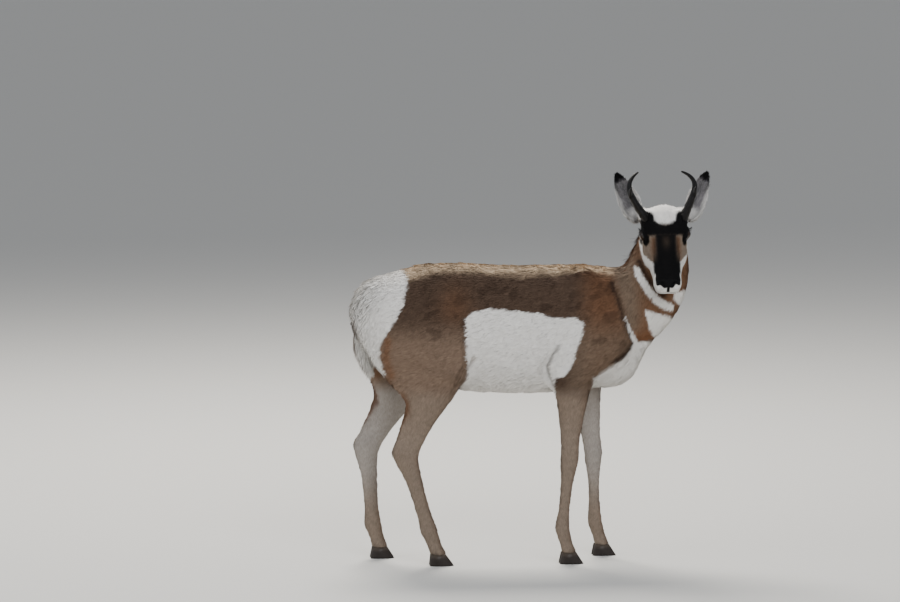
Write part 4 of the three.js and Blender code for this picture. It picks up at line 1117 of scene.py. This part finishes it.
# Hair of the tail, white round a darker line.
def make_tail(fur):
    draw = np.random.default_rng(SEED + 5)
    count = TAIL_STRANDS
    part = draw.uniform(0, 1, count) ** 0.8
    angle = draw.uniform(-math.pi, math.pi, count)
    down = part * 0.146
    rings = np.array(TAIL)
    ahead, deep, wide = (np.interp(down, rings[:, 3], rings[:, k]) for k in range(3))
    out = np.stack([np.cos(angle), np.sin(angle), 0 * angle], 1)
    body = np.stack([TAIL_ROOT[0] + ahead + deep / 2 * out[:, 0], wide / 2 * out[:, 1],
                     TAIL_ROOT[2] - down], 1)
    body = body - out * 0.002
    lies = np.tile(unit(np.array([0.05, 0, -1.0])), (count, 1))
    ways = unit(out * draw.uniform(0.05, 0.32, (count, 1)) + lies + draw.normal(0, 0.07, (count, 3)))
    long = draw.uniform(0.022, 0.040, count)
    c = np.tile(WHITE * 0.95, (count, 1))
    over(c, TAUPE, ramp(-0.72, -0.95, out[:, 0]) * 0.85 * ramp(0.05, 0.2, part))
    spots = np.stack([0.05 + 0.9 * (angle / (2 * math.pi) + 0.5), 0.05 + 0.9 * part], 1)
    thick = draw.uniform(0.0018, 0.003, count)
    dress(strand_mesh("tail_hair", body + SHIFT, ways, lies, out, long, thick, np.full(count, 0.8),
                      c * draw.uniform(0.88, 1.05, (count, 1)), spots, 3), fur)


# Lashes along the upper lids, and whiskers round the lips.
def make_fine_hair(fur):
    draw = np.random.default_rng(SEED + 9)
    hairs = []
    for sign in SIDES.values():
        centre, out, along, rise = eye_frame(sign)
        for k in range(64):
            a = math.radians(15 + 150 * (k + draw.uniform(-0.3, 0.3)) / 63)
            n = unit(out * 0.62 + along * math.cos(a) * 0.88 + rise * math.sin(a) * 0.52)
            long = draw.uniform(0.010, 0.016) * (0.6 + 0.4 * math.sin(a))
            root, way = centre + n * (EYE["radius"] + 0.0015), n * 0.8 + out * 0.5 - rise * 0.1
            hairs.append((root, way, rise, along, long, 0.0007, BLACK))
    for sign in SIDES.values():
        for k in range(26):
            t, h = draw.uniform(0.225, 0.262), draw.uniform(-0.036, -0.012)
            root = (t, sign * np.interp(t, [0.225, 0.262], [0.034, 0.026]), h)
            way = unit((0.25, sign * 0.9, -0.35 + draw.uniform(-0.3, 0.2)))
            long = draw.uniform(0.010, 0.022)
            hairs.append((root, way, (-0.3, 0, -0.5), (0, 0, 1), long, 0.00045, TAUPE * 0.4))
    roots, ways, lies, outs, long, wide, shades = (np.array(column) for column in zip(*hairs))
    count = len(roots)
    spots = np.stack([0.05 + 0.9 * np.arange(count) / count, np.full(count, 0.5)], 1)
    dress(strand_mesh("lashes_and_whiskers", from_head(roots) + SHIFT, ways @ HEAD, lies @ HEAD, outs @ HEAD,
                      long, wide, np.full(count, 0.7), shades, spots, 4), fur)


make_room()
make_camera()
skin = make_skin()
skin.data.shade_smooth()
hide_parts(*FLESH, "tail")
skin_colours = markings(mesh_points(skin.data) - SHIFT, mesh_normals(skin.data)) * 0.82
dress(skin, colour_material("coat_skin", 0.85, 0.25, 0.0012, 620, 0.15), skin_colours)
fur = colour_material("fur", 0.8, shine=0.1)
make_eyes()
make_horns()
make_hooves()
make_ears(fur)
make_coat(skin, fur, COAT_TUFTS)
make_mane(skin, fur)
make_tail(fur)
make_fine_hair(fur)
